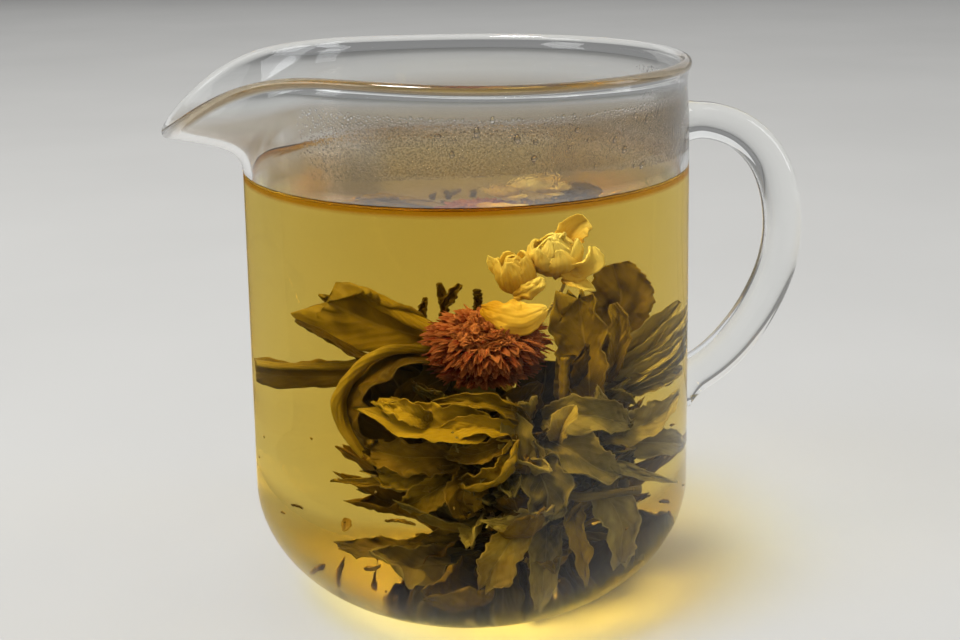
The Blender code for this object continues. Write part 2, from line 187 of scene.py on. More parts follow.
def mesh_object(name, verts, faces, uvs=None, fields=None, smooth=True):
    """An object from millimetre vertices. uvs and the named fields are given for each vertex."""
    mesh = bpy.data.meshes.new(name)
    points = np.asarray(verts, dtype=float) * MM
    mesh.from_pydata(points.tolist(), [], [tuple(int(i) for i in f) for f in faces])
    if smooth:
        mesh.shade_smooth()
    loops = np.empty(len(mesh.loops), dtype=np.int32)
    mesh.loops.foreach_get("vertex_index", loops)
    if uvs is not None:
        layer = mesh.uv_layers.new(name="blade")
        layer.data.foreach_set("uv", np.asarray(uvs, dtype=np.float32)[loops].ravel())
    for label, values in (fields or {}).items():
        attribute = mesh.attributes.new(label, "FLOAT", "POINT")
        attribute.data.foreach_set("value", np.asarray(values, dtype=np.float32))
    obj = bpy.data.objects.new(name, mesh)
    bpy.context.scene.collection.objects.link(obj)
    return obj


def grid_faces(rows, columns, wrap=True, start=0):
    """Quads between neighbouring rows of a grid, closed round each row if wrap."""
    i = np.arange(rows - 1)[:, None]
    j = np.arange(columns if wrap else columns - 1)[None, :]
    k = (j + 1) % columns
    a, b = start + i * columns, start + (i + 1) * columns
    return np.stack([a + j, a + k, b + k, b + j], -1).reshape(-1, 4).tolist()


def closed_loft(rings, first_pole=None, last_pole=None):
    """Vertices and faces of a loft over rings [row, column, xyz], closed by a fan at each pole."""
    rows, columns = rings.shape[:2]
    verts = rings.reshape(-1, 3).tolist()
    faces = grid_faces(rows, columns)
    for pole, row, flip in ((first_pole, 0, True), (last_pole, rows - 1, False)):
        if pole is None:
            continue
        tip = len(verts)
        verts.append(list(pole))
        for j in range(columns):
            k = (j + 1) % columns
            pair = (row * columns + k, row * columns + j)
            faces.append((tip, *pair) if flip else (tip, *reversed(pair)))
    return verts, faces


class Graph:
    """A node tree, with short ways to add and link its nodes. A tuple of three numbers is a colour."""

    def __init__(self, tree):
        self.nodes, self.links = tree.nodes, tree.links

    def feed(self, socket, value):
        if isinstance(value, bpy.types.NodeSocket):
            self.links.new(value, socket)
        else:
            socket.default_value = (*value, 1.0) if isinstance(value, tuple) else value

    def add(self, kind, **inputs):
        """A new node with its inputs set or linked, by their names with _ for a space."""
        node = self.nodes.new("ShaderNode" + kind)
        for name, value in inputs.items():
            self.feed(node.inputs[name.replace("_", " ")], value)
        return node

    def bsdf(self, kind, **inputs):
        return self.add("Bsdf" + kind, **inputs).outputs[0]

    def maths(self, operation, a, b=0.5):
        node = self.add("Math")
        node.operation = operation
        self.feed(node.inputs[0], a)
        self.feed(node.inputs[1], b)
        return node.outputs[0]

    def times(self, a, b):
        return self.maths("MULTIPLY", a, b)

    def plus(self, a, b):
        return self.maths("ADD", a, b)

    def minus(self, a, b):
        return self.maths("SUBTRACT", a, b)

    def larger(self, a, b):
        return self.maths("MAXIMUM", a, b)

    def field(self, label):
        """A value that the mesh carries at each vertex."""
        node = self.add("Attribute")
        node.attribute_name = label
        return node.outputs["Fac"]

    def blade_axes(self):
        """Places across and along a blade, from 0 to 1."""
        uv = self.add("UVMap")
        uv.uv_map = "blade"
        return self.add("SeparateXYZ", Vector=uv.outputs[0]).outputs[:2]

    def noise(self, scale, detail):
        """Noise in the object's own coordinates."""
        where = self.add("TexCoord").outputs["Object"]
        return self.add("TexNoise", Vector=where, Scale=scale, Detail=detail).outputs["Fac"]

    def ramp(self, by, *stops):
        """A colour ramp. Each stop is a place and a colour, or a shade of grey."""
        node = self.add("ValToRGB", Fac=by)
        elements = node.color_ramp.elements
        while len(elements) < len(stops):
            elements.new(0.5)
        for element, (place, colour) in zip(elements, stops):
            element.position = place
            element.color = (*(colour if isinstance(colour, tuple) else (colour,) * 3), 1.0)
        return node.outputs["Color"]

    def blend(self, share, first, second):
        """A mix of two colours."""
        node = self.add("Mix")
        node.data_type = "RGBA"
        for index, value in ((0, share), (6, first), (7, second)):
            self.feed(node.inputs[index], value)
        return node.outputs[2]

    def mix(self, share, first, second):
        """A mix of two shaders."""
        node = self.add("MixShader")
        for socket, value in zip(node.inputs, (share, first, second)):
            self.feed(socket, value)
        return node.outputs[0]

    def bump(self, height, strength, distance):
        return self.add("Bump", Height=height, Strength=strength, Distance=distance).outputs["Normal"]


def new_material(name):
    material = bpy.data.materials.new(name)
    material.use_nodes = True
    material.node_tree.nodes.clear()
    return material, Graph(material.node_tree)


# ---------------- materials


def lamp_through(g, surface, tint):
    """Lets lamp light straight through a clear surface to what is inside it."""
    shadow = g.add("LightPath").outputs["Is Shadow Ray"]
    return g.mix(shadow, surface, g.bsdf("Transparent", Color=tint))


def bare_side(g, shader, ior, **bending):
    """Where liquid touches glass almost nothing is mirrored, so only the bending of light is kept.

    The bare field does the same for light that arrives from outside, to see in clearly. Light that
    is wholly reflected stays with the full shader, apart from the share that the leak field lets
    straight out, as thick, uneven glass does.
    """
    back = g.add("NewGeometry").outputs["Backfacing"]
    share = g.larger(g.field("wet"), g.times(g.field("bare"), g.minus(1.0, back)))
    bend = g.bsdf("Refraction", **{"IOR": ior, "Roughness": 0.0, **bending})
    mirrored = g.add("Fresnel", IOR=ior).outputs[0]
    passes = g.maths("LESS_THAN", mirrored, WHOLLY_MIRRORED)
    kept = g.mix(g.times(share, passes), shader, bend)
    trapped = g.times(back, g.maths("GREATER_THAN", mirrored, LEAK_FROM))
    return g.mix(g.times(g.field("leak"), trapped), kept, g.bsdf("Transparent"))


def glass_material(name):
    """Clear borosilicate glass with faint drawn waviness, and breath of steam over the tea. The steam band,
    the haze just above the tea and the front of the rim bead carry a painted amber tint, which stands in for
    the tea seen through them.
    """
    material, g = new_material(name)
    mist_and_painted_tint = g.field("mist_and_painted_tint")
    # painted amber tint: the misted band, the haze over the tea and the front rim bead are tinted to stand in
    # for the tea seen through them; the mist field also roughens the glass as real condensation
    painted_tint = g.larger(g.larger(mist_and_painted_tint, g.times(g.field("painted_haze"), HAZE_PAINTED_TINT)), g.field("painted_amber"))
    cloud = g.ramp(g.noise(130.0, 5.0), (0.35, 0.02), (0.75, 0.16))
    rough = g.plus(g.times(mist_and_painted_tint, cloud), g.times(g.field("foot"), FOOT_BLUR))
    fine = g.times(g.times(g.noise(1900.0, 2.0), 3.0), mist_and_painted_tint)
    shader = g.bsdf(
        "Principled", Base_Color=g.ramp(painted_tint, (0.0, GLASS_COLOUR), (1.0, PAINTED_TEA_TINT_COLOUR)), Roughness=rough,
        IOR=GLASS_IOR, Transmission_Weight=1.0, Normal=g.bump(g.plus(g.noise(38.0, 1.0), fine), 0.05, 0.0006))
    surface = lamp_through(g, bare_side(g, shader, GLASS_IOR, Roughness=rough), (0.96, 0.965, 0.96))
    g.add("OutputMaterial", Surface=surface)
    return material


def water_material():
    """Condensed drops on the inside of the glass."""
    material, g = new_material("condensed_drops")
    rough = g.ramp(g.noise(400.0, 2.0), (0.3, 0.0), (0.8, 0.06))
    shader = g.bsdf("Principled", Transmission_Weight=1.0, IOR=WATER_IOR, Roughness=rough)
    faint = g.mix(DROP_FADE, shader, g.bsdf("Transparent"))
    g.add("OutputMaterial", Surface=lamp_through(g, faint, (0.97, 0.97, 0.97)))
    return material


def tea_material():
    """Clear amber liquid: the colour comes from how far light travels through it, apart from a painted golden
    tint along the meniscus at the glass.
    """
    material, g = new_material("amber_tea")
    # painted golden tint at the meniscus edge
    tint = g.ramp(g.field("painted_amber"), (0.0, 1.0), (1.0, PAINTED_MENISCUS_COLOUR))
    shader = g.bsdf("Principled", Base_Color=tint, Roughness=0.0, IOR=WATER_IOR, Transmission_Weight=1.0,
                    Normal=g.bump(g.noise(30.0, 2.0), 0.03, 0.0006))
    surface = lamp_through(g, bare_side(g, shader, WATER_IOR, Color=tint), (1.0, 1.0, 1.0))
    depth = g.add("VolumeAbsorption", Color=TEA_COLOUR, Density=TEA_DENSITY).outputs[0]
    g.add("OutputMaterial", Surface=surface, Volume=depth)
    return material


def plant_surface(g, colour, rough, normal, through):
    """The dull face of a leaf or petal, with some light shining through it."""
    face = g.bsdf("Principled", Base_Color=colour, Roughness=rough, Specular_IOR_Level=LEAF_SHINE,
                  Normal=normal)
    g.add("OutputMaterial", Surface=g.mix(through, face, g.bsdf("Translucent", Color=colour)))


def leaf_material(name, dark, mid, pale, edge):
    """Wet tea leaf: mottled olive, with midrib, side veins, a pale rim and darker blotches."""
    material, g = new_material(name)
    across, along = g.blade_axes()
    off_rib = g.maths("ABSOLUTE", g.minus(across, 0.5))
    slant = g.minus(g.times(along, 9.0), g.times(off_rib, 7.0))
    stripe = g.maths("SINE", g.times(slant, TURN))
    veins = g.maths("GREATER_THAN", stripe, 0.955)
    rib, rim = g.maths("LESS_THAN", off_rib, 0.018), g.maths("GREATER_THAN", off_rib, 0.48)
    mottle = g.noise(220.0, 6.0)
    shade = g.plus(g.times(mottle, 0.45), g.times(g.noise(70.0, 3.0), 0.45))
    shade = g.plus(shade, g.times(g.field("tone"), 0.55))
    deep = g.larger(g.minus(1.0, g.times(along, 2.2)), 0.0)
    shade = g.minus(shade, g.times(deep, 0.3))
    colour = g.ramp(shade, (0.40, dark), (0.66, mid), (1.0, pale))
    colour = g.blend(g.times(g.larger(g.times(veins, 0.35), rib), 0.22), colour, edge)
    colour = g.blend(g.times(rim, 0.12), colour, edge)
    normal = g.bump(g.plus(mottle, g.times(stripe, 0.12)), 0.6, 0.0005)
    plant_surface(g, colour, g.plus(g.times(mottle, 0.3), 0.3), normal, LEAF_THROUGH)
    return material


def petal_material(name, deep, mid, tip, through=PETAL_THROUGH):
    """Soft petals that pale from the base to the tip, with fine lengthwise streaks."""
    material, g = new_material(name)
    across, along = g.blade_axes()
    mottle = g.noise(260.0, 4.0)
    stripe = g.maths("SINE", g.times(across, 60.0))
    shade = g.plus(g.times(along, 0.62), g.times(g.field("tone"), 0.40))
    shade = g.minus(g.plus(shade, g.times(mottle, 0.22)), g.times(stripe, 0.03))
    colour = g.ramp(shade, (0.15, deep), (0.55, mid), (0.98, tip))
    plant_surface(g, colour, 0.55, g.bump(g.plus(mottle, g.times(stripe, 0.15)), 0.4, 0.0003), through)
    return material


# ---------------- the vessel


def finish_piece(piece, material, body, stands_for=()):
    piece.data.materials.append(material)
    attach(piece, body)
    if stands_for:
        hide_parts(*stands_for)
    return piece


def ease(values, start, width):
    """Climbs from 0 at start to 1 over the width. A negative width climbs the other way."""
    return np.clip((np.asarray(values) - start) / width, 0, 1)


def unit(vectors):
    vectors = np.asarray(vectors, dtype=float)
    return vectors / np.linalg.norm(vectors, axis=-1, keepdims=True)


def ring(columns):
    return np.linspace(0, TURN, columns, endpoint=False)


def within_box(verts):
    """Keeps a denser mesh of the same shape inside the CAD model's box."""
    return np.clip(np.array(verts, float), np.array(cad_box[0]) / MM, np.array(cad_box[1]) / MM)


def wall_radius(height):
    return WALL_RADIUS + WALL_SLOPE * (height - WALL_LEVEL)


def meridians(angles, corner_rows=30, wall_rows=20, neck_rows=30):
    """Middle line of the glass at each angle: radius, height and half thickness, [row, angle]."""
    angles = np.asarray(angles)
    half, floor_half = WALL / 2, FLOOR / 2
    base_radius = wall_radius(CORNER_RISE)
    flat = np.ones_like(angles)
    rows = [(0 * flat, floor_half * flat, floor_half * flat)]
    rows.append((0.5 * (base_radius - CORNER_REACH) * flat, floor_half * flat, floor_half * flat))
    for row in range(corner_rows + 1):
        share = row / corner_rows
        t = 0.5 * math.pi * (1 - share)
        thick = floor_half + (half - floor_half) * share
        inward = (CORNER_REACH - thick) * (1 - max(math.cos(t), 0.0) ** CORNER_POWER)
        rise = (CORNER_RISE - thick) * (1 - math.sin(t) ** CORNER_POWER)
        rows.append(((base_radius - thick - inward) * flat, (thick + rise) * flat, thick * flat))
    across = (angles - math.pi) / SPOUT_HALF_ANGLE
    share = np.where(np.abs(across) < 1, np.cos(0.5 * math.pi * np.clip(across, -1, 1)), 0.0)
    share = np.maximum(share, 0.0)
    throat = share**SPOUT_THROAT_POWER
    away = np.abs(angles % TURN - math.pi)
    shoulder = SHOULDER_RISE * np.exp(-(((away - SHOULDER_ANGLE) / SHOULDER_SPREAD) ** 2))
    start = NECK_START[0] + NECK_START[1] * throat
    for row in range(1, wall_rows + 1):
        height = CORNER_RISE + (start - CORNER_RISE) * row / wall_rows
        rows.append((wall_radius(height) - half, height, half * flat))
    knots = (
        (wall_radius(start) - half, start),
        (wall_radius(start) - 1.3 * half, NECK_LOW[0] + NECK_LOW[1] * throat),
        (NECK_RADIUS[0] + NECK_RADIUS[1] * throat, NECK_HIGH[0] + NECK_HIGH[1] * throat),
        (RIM_RADIUS + SPOUT_REACH * share**SPOUT_PLAN_POWER,
         HEIGHT - BEAD + shoulder - SPOUT_DROP * share**SPOUT_DROP_POWER),
    )
    for row in range(1, neck_rows + 1):
        t = row / neck_rows
        s = 1 - t
        weights = (s**3, 3 * s * s * t, 3 * s * t * t, t**3)
        radius = sum(w * k[0] for w, k in zip(weights, knots))
        height = sum(w * k[1] for w, k in zip(weights, knots))
        rows.append((radius, height, (half + (BEAD - half) * t**4) * flat))
    return np.array(rows).transpose(1, 0, 2)


def jug_surfaces(angles, cap_rows=10):
    """Outer, rounded lip and inner points of the glass, each [row, angle, xyz]."""
    radius, height, half = meridians(angles)
    middle = np.stack([radius * np.cos(angles), radius * np.sin(angles), height], -1)
    along = np.gradient(middle, axis=0)
    around = np.roll(middle, -1, axis=1) - np.roll(middle, 1, axis=1)
    around[0] = around[1]
    normal = np.cross(around, along)
    normal /= np.linalg.norm(normal, axis=-1, keepdims=True)
    normal[:3] = (0.0, 0.0, -1.0)
    thick = half[..., None]
    lip_side = np.cross(normal[-1], around[-1])
    lip_side /= np.linalg.norm(lip_side, axis=-1, keepdims=True)
    lip_side *= np.sign(np.sum(lip_side * along[-1], axis=-1, keepdims=True))
    cap = []
    for row in range(1, cap_rows + 1):
        turn = math.pi * row / (cap_rows + 1)
        cap.append(middle[-1] + thick[-1] * (math.cos(turn) * normal[-1] + math.sin(turn) * lip_side))
    return middle + normal * thick, np.array(cap), middle - normal * thick


def jug_angles():
    """Angles of the jug's meridians, closer together across the spout."""
    low = math.pi - SPOUT_HALF_ANGLE
    spout = low + 2 * SPOUT_HALF_ANGLE * np.arange(SPOUT_COLUMNS) / SPOUT_COLUMNS
    rest = (TURN - 2 * SPOUT_HALF_ANGLE) * np.arange(ROUND_COLUMNS) / ROUND_COLUMNS
    return np.concatenate([spout, math.pi + SPOUT_HALF_ANGLE + rest])


def build_glass_body():
    outer, cap, inner = jug_surfaces(jug_angles())
    rings = np.concatenate([outer[1:], cap, inner[:0:-1]])
    verts, faces = closed_loft(rings, outer[0].mean(axis=0), inner[0].mean(axis=0))
    level = rings[..., 2]
    inside = np.arange(len(rings))[:, None] >= len(outer) - 1 + len(cap)
    angle = np.arctan2(rings[..., 1], rings[..., 0])
    right, upper, foot = ease(angle, VEIL_FROM, 0.2), ease(level, *VEIL_FADE), ease(level, *FOOT_FADE)
    bare_right = OUTER_BARE_RIGHT + (OUTER_BARE_UPPER - OUTER_BARE_RIGHT) * upper
    bare = OUTER_BARE_LEFT + (bare_right - OUTER_BARE_LEFT) * right
    bare = bare + (np.minimum(bare, FOOT_BARE) - bare) * foot
    bare = np.where(inside, 0.0, bare * ease(level, *BARE_FADE))
    leak = np.where(inside, 0.0, WALL_LEAK + (FOOT_LEAK - WALL_LEAK) * foot)
    # the front of the rim bead gets a painted amber tint, standing in for the tea seen through it
    painted_amber = np.zeros_like(level)
    painted_amber[len(outer) - 2 : len(outer) + len(cap) - 1] = 1.0
    painted_amber *= np.clip(-np.sin(angle) * 4, 0, 1)  # painted amber, only on the camera's side
    over_tea = ease(level, *MIST_LOW_FADE) * ease(level, *MIST_TOP_FADE)
    fields = {  # each with its values at the outer and the inner pole
        "wet": (inside & (level < TEA_LEVEL + MENISCUS_RISE), (0, 1)),
        "bare": (bare, (FOOT_BARE, 0)),
        "leak": (leak, (FOOT_LEAK, 0)),
        # real condensation, which also takes the painted amber tint
        "mist_and_painted_tint": (inside * over_tea * steam_share(angle), (0, 0)),
        "foot": (~inside * ease(level, *BLUR_FADE), (1, 0)),
        # the inner wall just above the tea, where the painted amber tint lies
        "painted_haze": (inside * ease(level, *HAZE_LOW_FADE) * ease(level, *HAZE_TOP_FADE), (0, 0)),
        "painted_amber": (painted_amber, (0, 0)),
    }
    fields = {label: np.append(values.ravel(), poles) for label, (values, poles) in fields.items()}
    body = mesh_object("glass_body_clear", within_box(verts), faces, fields=fields)
    finish_piece(body, glass_material("jug_glass"), "jug", ("glass_body",))


def steam_share(angle):
    """How misted the glass is round the jug: only from beside the spout to just past the handle."""
    angle = (np.asarray(angle) + math.pi) % TURN - math.pi
    return ease(angle, MIST_FROM, 0.5) ** 1.5 * ease(angle, MIST_TO, -0.5)


def drop_shape(seat, out, across, size, tall, slant, rng):
    """A closed cap of water on the wall, with its back a little inside the glass."""
    up = np.array([0.0, 0.0, 1.0])
    along_wall = np.cos(slant) * up + np.sin(slant) * across
    beside = np.cos(slant) * across - np.sin(slant) * up
    turn = TURN * np.arange(DROP_SIDES) / DROP_SIDES
    uneven = 1 + 0.14 * np.sin(turn * 2 + rng.uniform(0, TURN))
    rings = []
    for spread, height in ((1.0, -DROP_EMBED), (0.95, 0.10 * size), (0.6, 0.32 * size)):
        rings.append(seat - out * height + (uneven * spread)[:, None] * (
            np.cos(turn)[:, None] * beside * size + np.sin(turn)[:, None] * along_wall * tall))
    verts, faces = closed_loft(np.array(rings)[:, ::-1], seat + out * DROP_EMBED, seat - out * 0.42 * size)
    return verts, faces, np.zeros((len(verts), 2)), np.full(len(verts), 0.5)


def build_drops():
    """Condensed water on the inner wall: drops that have run together above, fine mist below."""
    rng = np.random.default_rng(2)
    profile = jug_surfaces(ring(120))[2][:, 0, :]
    profile = profile[profile[:, 2] > 60.0]
    drops, taken = Heap(), {}
    for k in range(DROPS):
        run = k < RUNS
        angle = rng.uniform(-1.9, 0.5) if run else rng.uniform(MIST_FROM, MIST_TO)
        share = 1 - rng.random() ** 1.1
        low, high = DROPS_LOW + 1.2 * math.sin(3 * angle), DROPS_TOP + 0.8 * math.sin(2 * angle + 1)
        level = low + (high - low) * share
        if rng.random() > steam_share(angle):
            continue
        size = 0.12 + 0.12 * rng.random() + 0.28 * share**2 * rng.random() ** 1.5
        size = rng.uniform(0.4, 0.75) if run else size * (0.7 if angle > 0.3 else 1.0)
        x, y = angle * DROP_RADIUS, level
        cell = (int(x / DROP_CELL), int(y / DROP_CELL))
        near = [spot for i in (-1, 0, 1) for j in (-1, 0, 1)
                for spot in taken.get((cell[0] + i, cell[1] + j), ())]
        if any(math.hypot(x - u, y - v) < 0.9 * (size + w) for u, v, w in near):
            continue
        taken.setdefault(cell, []).append((x, y, size))
        out = np.array([math.cos(angle), math.sin(angle), 0.0])
        across = np.array([-math.sin(angle), math.cos(angle), 0.0])
        seat = out * np.interp(level, profile[:, 2], profile[:, 0]) + np.array([0.0, 0.0, level])
        tall = size * rng.uniform(0.9, 1.8 if run else 1.25)
        drops.add(drop_shape(seat, out, across, size, tall, rng.uniform(-0.4, 0.4), rng))
    drops.make("condensation", water_material(), "clear_glass", body="jug", turned=False, held=False)


def smooth_line(points, samples):
    """Points at even steps along a smooth curve through the given ones."""
    points = np.array(points, float)
    padded = np.vstack([2 * points[0] - points[1], points, 2 * points[-1] - points[-2]])
    fine = []
    for k in range(len(points) - 1):
        p0, p1, p2, p3 = padded[k : k + 4]
        for t in np.linspace(0.0, 1.0, 24, endpoint=False):
            fine.append(0.5 * (2 * p1 + (p2 - p0) * t + (2 * p0 - 5 * p1 + 4 * p2 - p3) * t**2)
                        + 0.5 * (3 * p1 - p0 - 3 * p2 + p3) * t**3)
    fine.append(points[-1])
    fine = np.array(fine)
    run = np.concatenate([[0.0], np.cumsum(np.linalg.norm(np.diff(fine, axis=0), axis=1))])
    wanted = np.linspace(0.0, run[-1], samples)
    return np.stack([np.interp(wanted, run, fine[:, k]) for k in range(fine.shape[1])], -1)


def build_handle():
    """The rounded glass bar, swept along its D and flared into the wall at both roots."""
    line = smooth_line(HANDLE_LINE, HANDLE_SECTIONS)
    tangent = unit(np.gradient(line, axis=0))
    run = np.concatenate([[0.0], np.cumsum(np.linalg.norm(np.diff(line, axis=0), axis=1))])
    share = np.linspace(0.0, 1.0, HANDLE_SECTIONS)
    to_root = np.minimum(run, run[-1] - run)
    flare = 1 + ROOT_FLARE * np.clip(1 - to_root / ROOT_FLARE_LENGTH, 0, 1) ** 2
    thick = (HANDLE_THICK_TOP + (HANDLE_THICK_LOW - HANDLE_THICK_TOP) * share) * flare
    turn = TURN * np.arange(HANDLE_SIDES) / HANDLE_SIDES
    power = 2 / HANDLE_SQUARENESS
    u = np.sign(np.cos(turn)) * np.abs(np.cos(turn)) ** power
    v = np.sign(np.sin(turn)) * np.abs(np.sin(turn)) ** power
    side = np.stack([tangent[:, 1], -tangent[:, 0]], -1)
    x = line[:, :1] + side[:, :1] * u * thick[:, None] / 2
    z = line[:, 1:] + side[:, 1:] * u * thick[:, None] / 2
    y = v[None, :] * (HANDLE_WIDTH / 2 * flare)[:, None]
    wall = np.sqrt((wall_radius(z) - ROOT_EMBED) ** 2 - y**2)
    x = np.maximum(x, wall)
    x[0], x[-1] = wall[0], wall[-1]
    rings = np.stack([x, y, z], -1)
    verts, faces = closed_loft(rings, rings[0].mean(axis=0), rings[-1].mean(axis=0))
    handle = mesh_object("handle_clear", within_box(verts), faces)
    finish_piece(handle, glass_material("handle_glass"), "jug", ("handle",))


def build_tea():
    """The liquid fills the jug to its level and climbs the glass a little at its edge."""
    angles = ring(180)
    outer, _, inner = jug_surfaces(angles)
    column = inner[:, 0, :] + TEA_OVERLAP * unit(outer[:, 0, :] - inner[:, 0, :])
    column = column[column[:, 2] < TEA_LEVEL - 3.0]
    edge_levels = TEA_LEVEL + np.array((-2.0, -1.0, -0.5, 0.0, MENISCUS_RISE))
    insets = np.array(SURFACE_INSETS)
    climb = 0.6 * np.exp(-insets / MENISCUS_WIDTH) + 0.4 * np.exp(-insets / MENISCUS_EDGE)
    rim_radius = wall_radius(TEA_LEVEL) - WALL + TEA_OVERLAP
    radius = np.concatenate([
        column[:, 0], wall_radius(edge_levels) - WALL + TEA_OVERLAP, rim_radius - insets])
    height = np.concatenate([
        column[:, 2], edge_levels, TEA_LEVEL - MENISCUS_DIP + (MENISCUS_RISE + MENISCUS_DIP) * climb])
    rings = np.stack(
        [radius[:, None] * np.cos(angles), radius[:, None] * np.sin(angles),
         np.repeat(height[:, None], len(angles), axis=1)], -1)
    verts, faces = closed_loft(rings[1:], (0, 0, height[0]), (0, 0, TEA_LEVEL - MENISCUS_DIP))
    against_glass = np.arange(len(rings) - 1) < len(radius) - len(insets) - 1
    wet = np.append(np.repeat(against_glass, len(angles)), (1, 0))
    # edge marks the meniscus, which gets the painted golden tint and loses its reflection
    edge = np.exp(-np.clip(rim_radius - radius[1:], 0, None) / 0.5) * (height[1:] > TEA_LEVEL - 1.2)
    edge = np.append(np.repeat(edge, len(angles)), (0, 0))
    tea = mesh_object("tea_liquid", verts, faces, fields={"wet": wet, "painted_amber": edge, "bare": edge})
    finish_piece(tea, tea_material(), "jug", ("tea",))


# ---------------- blades and tubes


def sway(rng, along, fewest, most, count=3):
    """A smooth random line along a blade, about -1 to 1."""
    total = np.zeros_like(along)
    for _ in range(count):
        total += np.sin(TURN * (rng.uniform(fewest, most) * along + rng.random()))
    return total / math.sqrt(count)


def blade(path, width, facing, seed, fold=0.3, cup=0.0, roll=(0.0, 0.0), ripple=0.25, crinkle=0.3,
          teeth=0, tear=0.0, widest=0.45, blunt=0.0, stalk=0.15, rows=44, half=9, thick=0.32, tone=0.5,
          curl_power=2.5, shares=(1.0, 1.0), unroll=0.0, slant=0.0, swell=0.5):
    """A closed thin leaf or petal along a path, with its upper side towards facing (start, end).

    fold is the angle of each half at the midrib, cup bends the halves evenly, and roll curls their
    rims, over a wide margin where curl_power is low, and by less at the tip where unroll is set.
    ripple waves the rims, and crinkle lifts the whole blade, in mm. tear shifts the tip's points, and
    slant cuts the end askew. The blade is widest at that share of its length, and stalk and blunt are
    the shares of its width at its start and end. shares widens either half, and swell rounds its base.
    """
    rng = np.random.default_rng(seed)
    line = smooth_line(path, rows)
    tangent = unit(np.gradient(line, axis=0))
    along = np.linspace(0.0, 1.0, rows)
    start, end = np.array(facing[0], float), np.array(facing[1], float)
    face = start + (end - start) * along[:, None]
    face = unit(face - np.sum(face * tangent, axis=1, keepdims=True) * tangent)
    side = np.cross(tangent, face)
    rising = stalk + (1 - stalk) * np.clip(1 - (1 - along / widest) ** 2, 0, 1) ** swell
    falling = 1 - (1 - blunt) * np.clip((along - widest) / (1 - widest), 0, 1) ** 2.4
    span = 0.5 * width * np.where(along < widest, rising, falling)
    step = np.linspace(0.0, 1.0, half)
    halves = []
    for hand, sign in enumerate((-1.0, 1.0)):
        ragged = 1 + 0.07 * sway(rng, along, 1.0, 4.0) + 0.03 * sway(rng, along, 6.0, 12.0)
        if teeth:
            ragged -= 0.08 * ((along * teeth) % 1.0)
        wave = ripple * sway(rng, along, 1.5, 4.5)
        curl = roll[hand] * (0.8 + 0.2 * sway(rng, along, 0.5, 1.5)) * (1 - unroll * along**2)
        angle = fold + cup * step + curl[:, None] * step**curl_power + wave[:, None] * step**1.5
        pace = (span * ragged * shares[hand])[:, None] / (half - 1)
        out = np.cumsum(np.cos(angle) * pace, axis=1) - np.cos(angle[:, :1]) * pace
        up = np.cumsum(np.sin(angle) * pace, axis=1) - np.sin(angle[:, :1]) * pace
        halves.append(line[:, None] + sign * side[:, None] * out[..., None] + face[:, None] * up[..., None])
    sheet = np.concatenate([halves[0][:, :0:-1], halves[1]], axis=1)
    columns = sheet.shape[1]
    across = np.linspace(-1.0, 1.0, columns)
    spread = sway(rng, across, 0.5, 2.0)
    bumps = np.outer(sway(rng, along, 1.0, 5.0), spread) + 0.5 * np.outer(
        sway(rng, along, 4.0, 9.0), sway(rng, across, 1.0, 3.0))
    normal = unit(np.cross(np.gradient(sheet, axis=1), np.gradient(sheet, axis=0)) + 1e-9)
    groove = 0.25 * np.exp(-((across / 0.08) ** 2)) * np.clip(span / (0.3 * width), 0, 1)[:, None]
    sheet = sheet + normal * (crinkle * bumps - groove)[..., None]
    if tear:
        jag = tear * sway(rng, across, 0.6, 2.2, 4) - slant * across
        sheet += tangent[:, None] * np.outer(np.clip(along * 3 - 2, 0, 1) ** 2, jag)[..., None]
    normal = unit(np.cross(np.gradient(sheet, axis=1), np.gradient(sheet, axis=0)) + 1e-9)
    depth = 0.5 * thick * (1 - 0.6 * np.abs(across) ** 4)[None, :, None]
    rings = np.concatenate([sheet + normal * depth, (sheet - normal * depth)[:, ::-1]], axis=1)
    verts, faces = closed_loft(rings, rings[0].mean(axis=0), rings[-1].mean(axis=0))
    u = np.concatenate([across, across[::-1]]) * 0.5 + 0.5
    uvs = np.stack(np.broadcast_arrays(u[None, :], along[:, None]), -1).reshape(-1, 2)
    shade = tone + 0.10 * bumps + 0.08 * sway(rng, along, 0.5, 2.0)[:, None]
    tones = np.concatenate([shade, shade[:, ::-1]], axis=1).ravel()
    uvs = np.vstack([uvs, [[0.5, 0.0], [0.5, 1.0]]])
    tones = np.append(tones, [tone, tone])
    return verts, faces, uvs, tones


def tube(path, radius, samples, sides=8, smooth=True, tone=0.5):
    """A closed round tube through the points. radius is one number or one for each sample."""
    line = smooth_line(path, samples) if smooth else np.asarray(path, float)
    tangent = unit(np.gradient(line, axis=0))
    first = unit(np.cross(tangent, (0.31, 0.17, 0.93)))
    second = np.cross(tangent, first)
    turn = TURN * np.arange(sides) / sides
    radius = np.broadcast_to(radius, len(line))[:, None, None]
    rings = line[:, None] + radius * (
        np.cos(turn)[None, :, None] * first[:, None] + np.sin(turn)[None, :, None] * second[:, None])
    verts, faces = closed_loft(rings, line[0], line[-1])
    along = np.linspace(0.0, 1.0, len(line))
    uvs = np.stack(np.broadcast_arrays(np.arange(sides) / sides, along[:, None]), -1).reshape(-1, 2)
    uvs = np.vstack([uvs, [[0.5, 0.0], [0.5, 1.0]]])
    return verts, faces, uvs, np.full(len(verts), tone)


def low_profile():
    """The inner side of the glass below its neck: radius and height from the middle outwards."""
    profile = jug_surfaces(ring(90))[2][:, 0, :]
    profile = profile[profile[:, 2] < 100.0]
    return profile[:, 0], profile[:, 2]


LOW_RADII, LOW_LEVELS = low_profile()


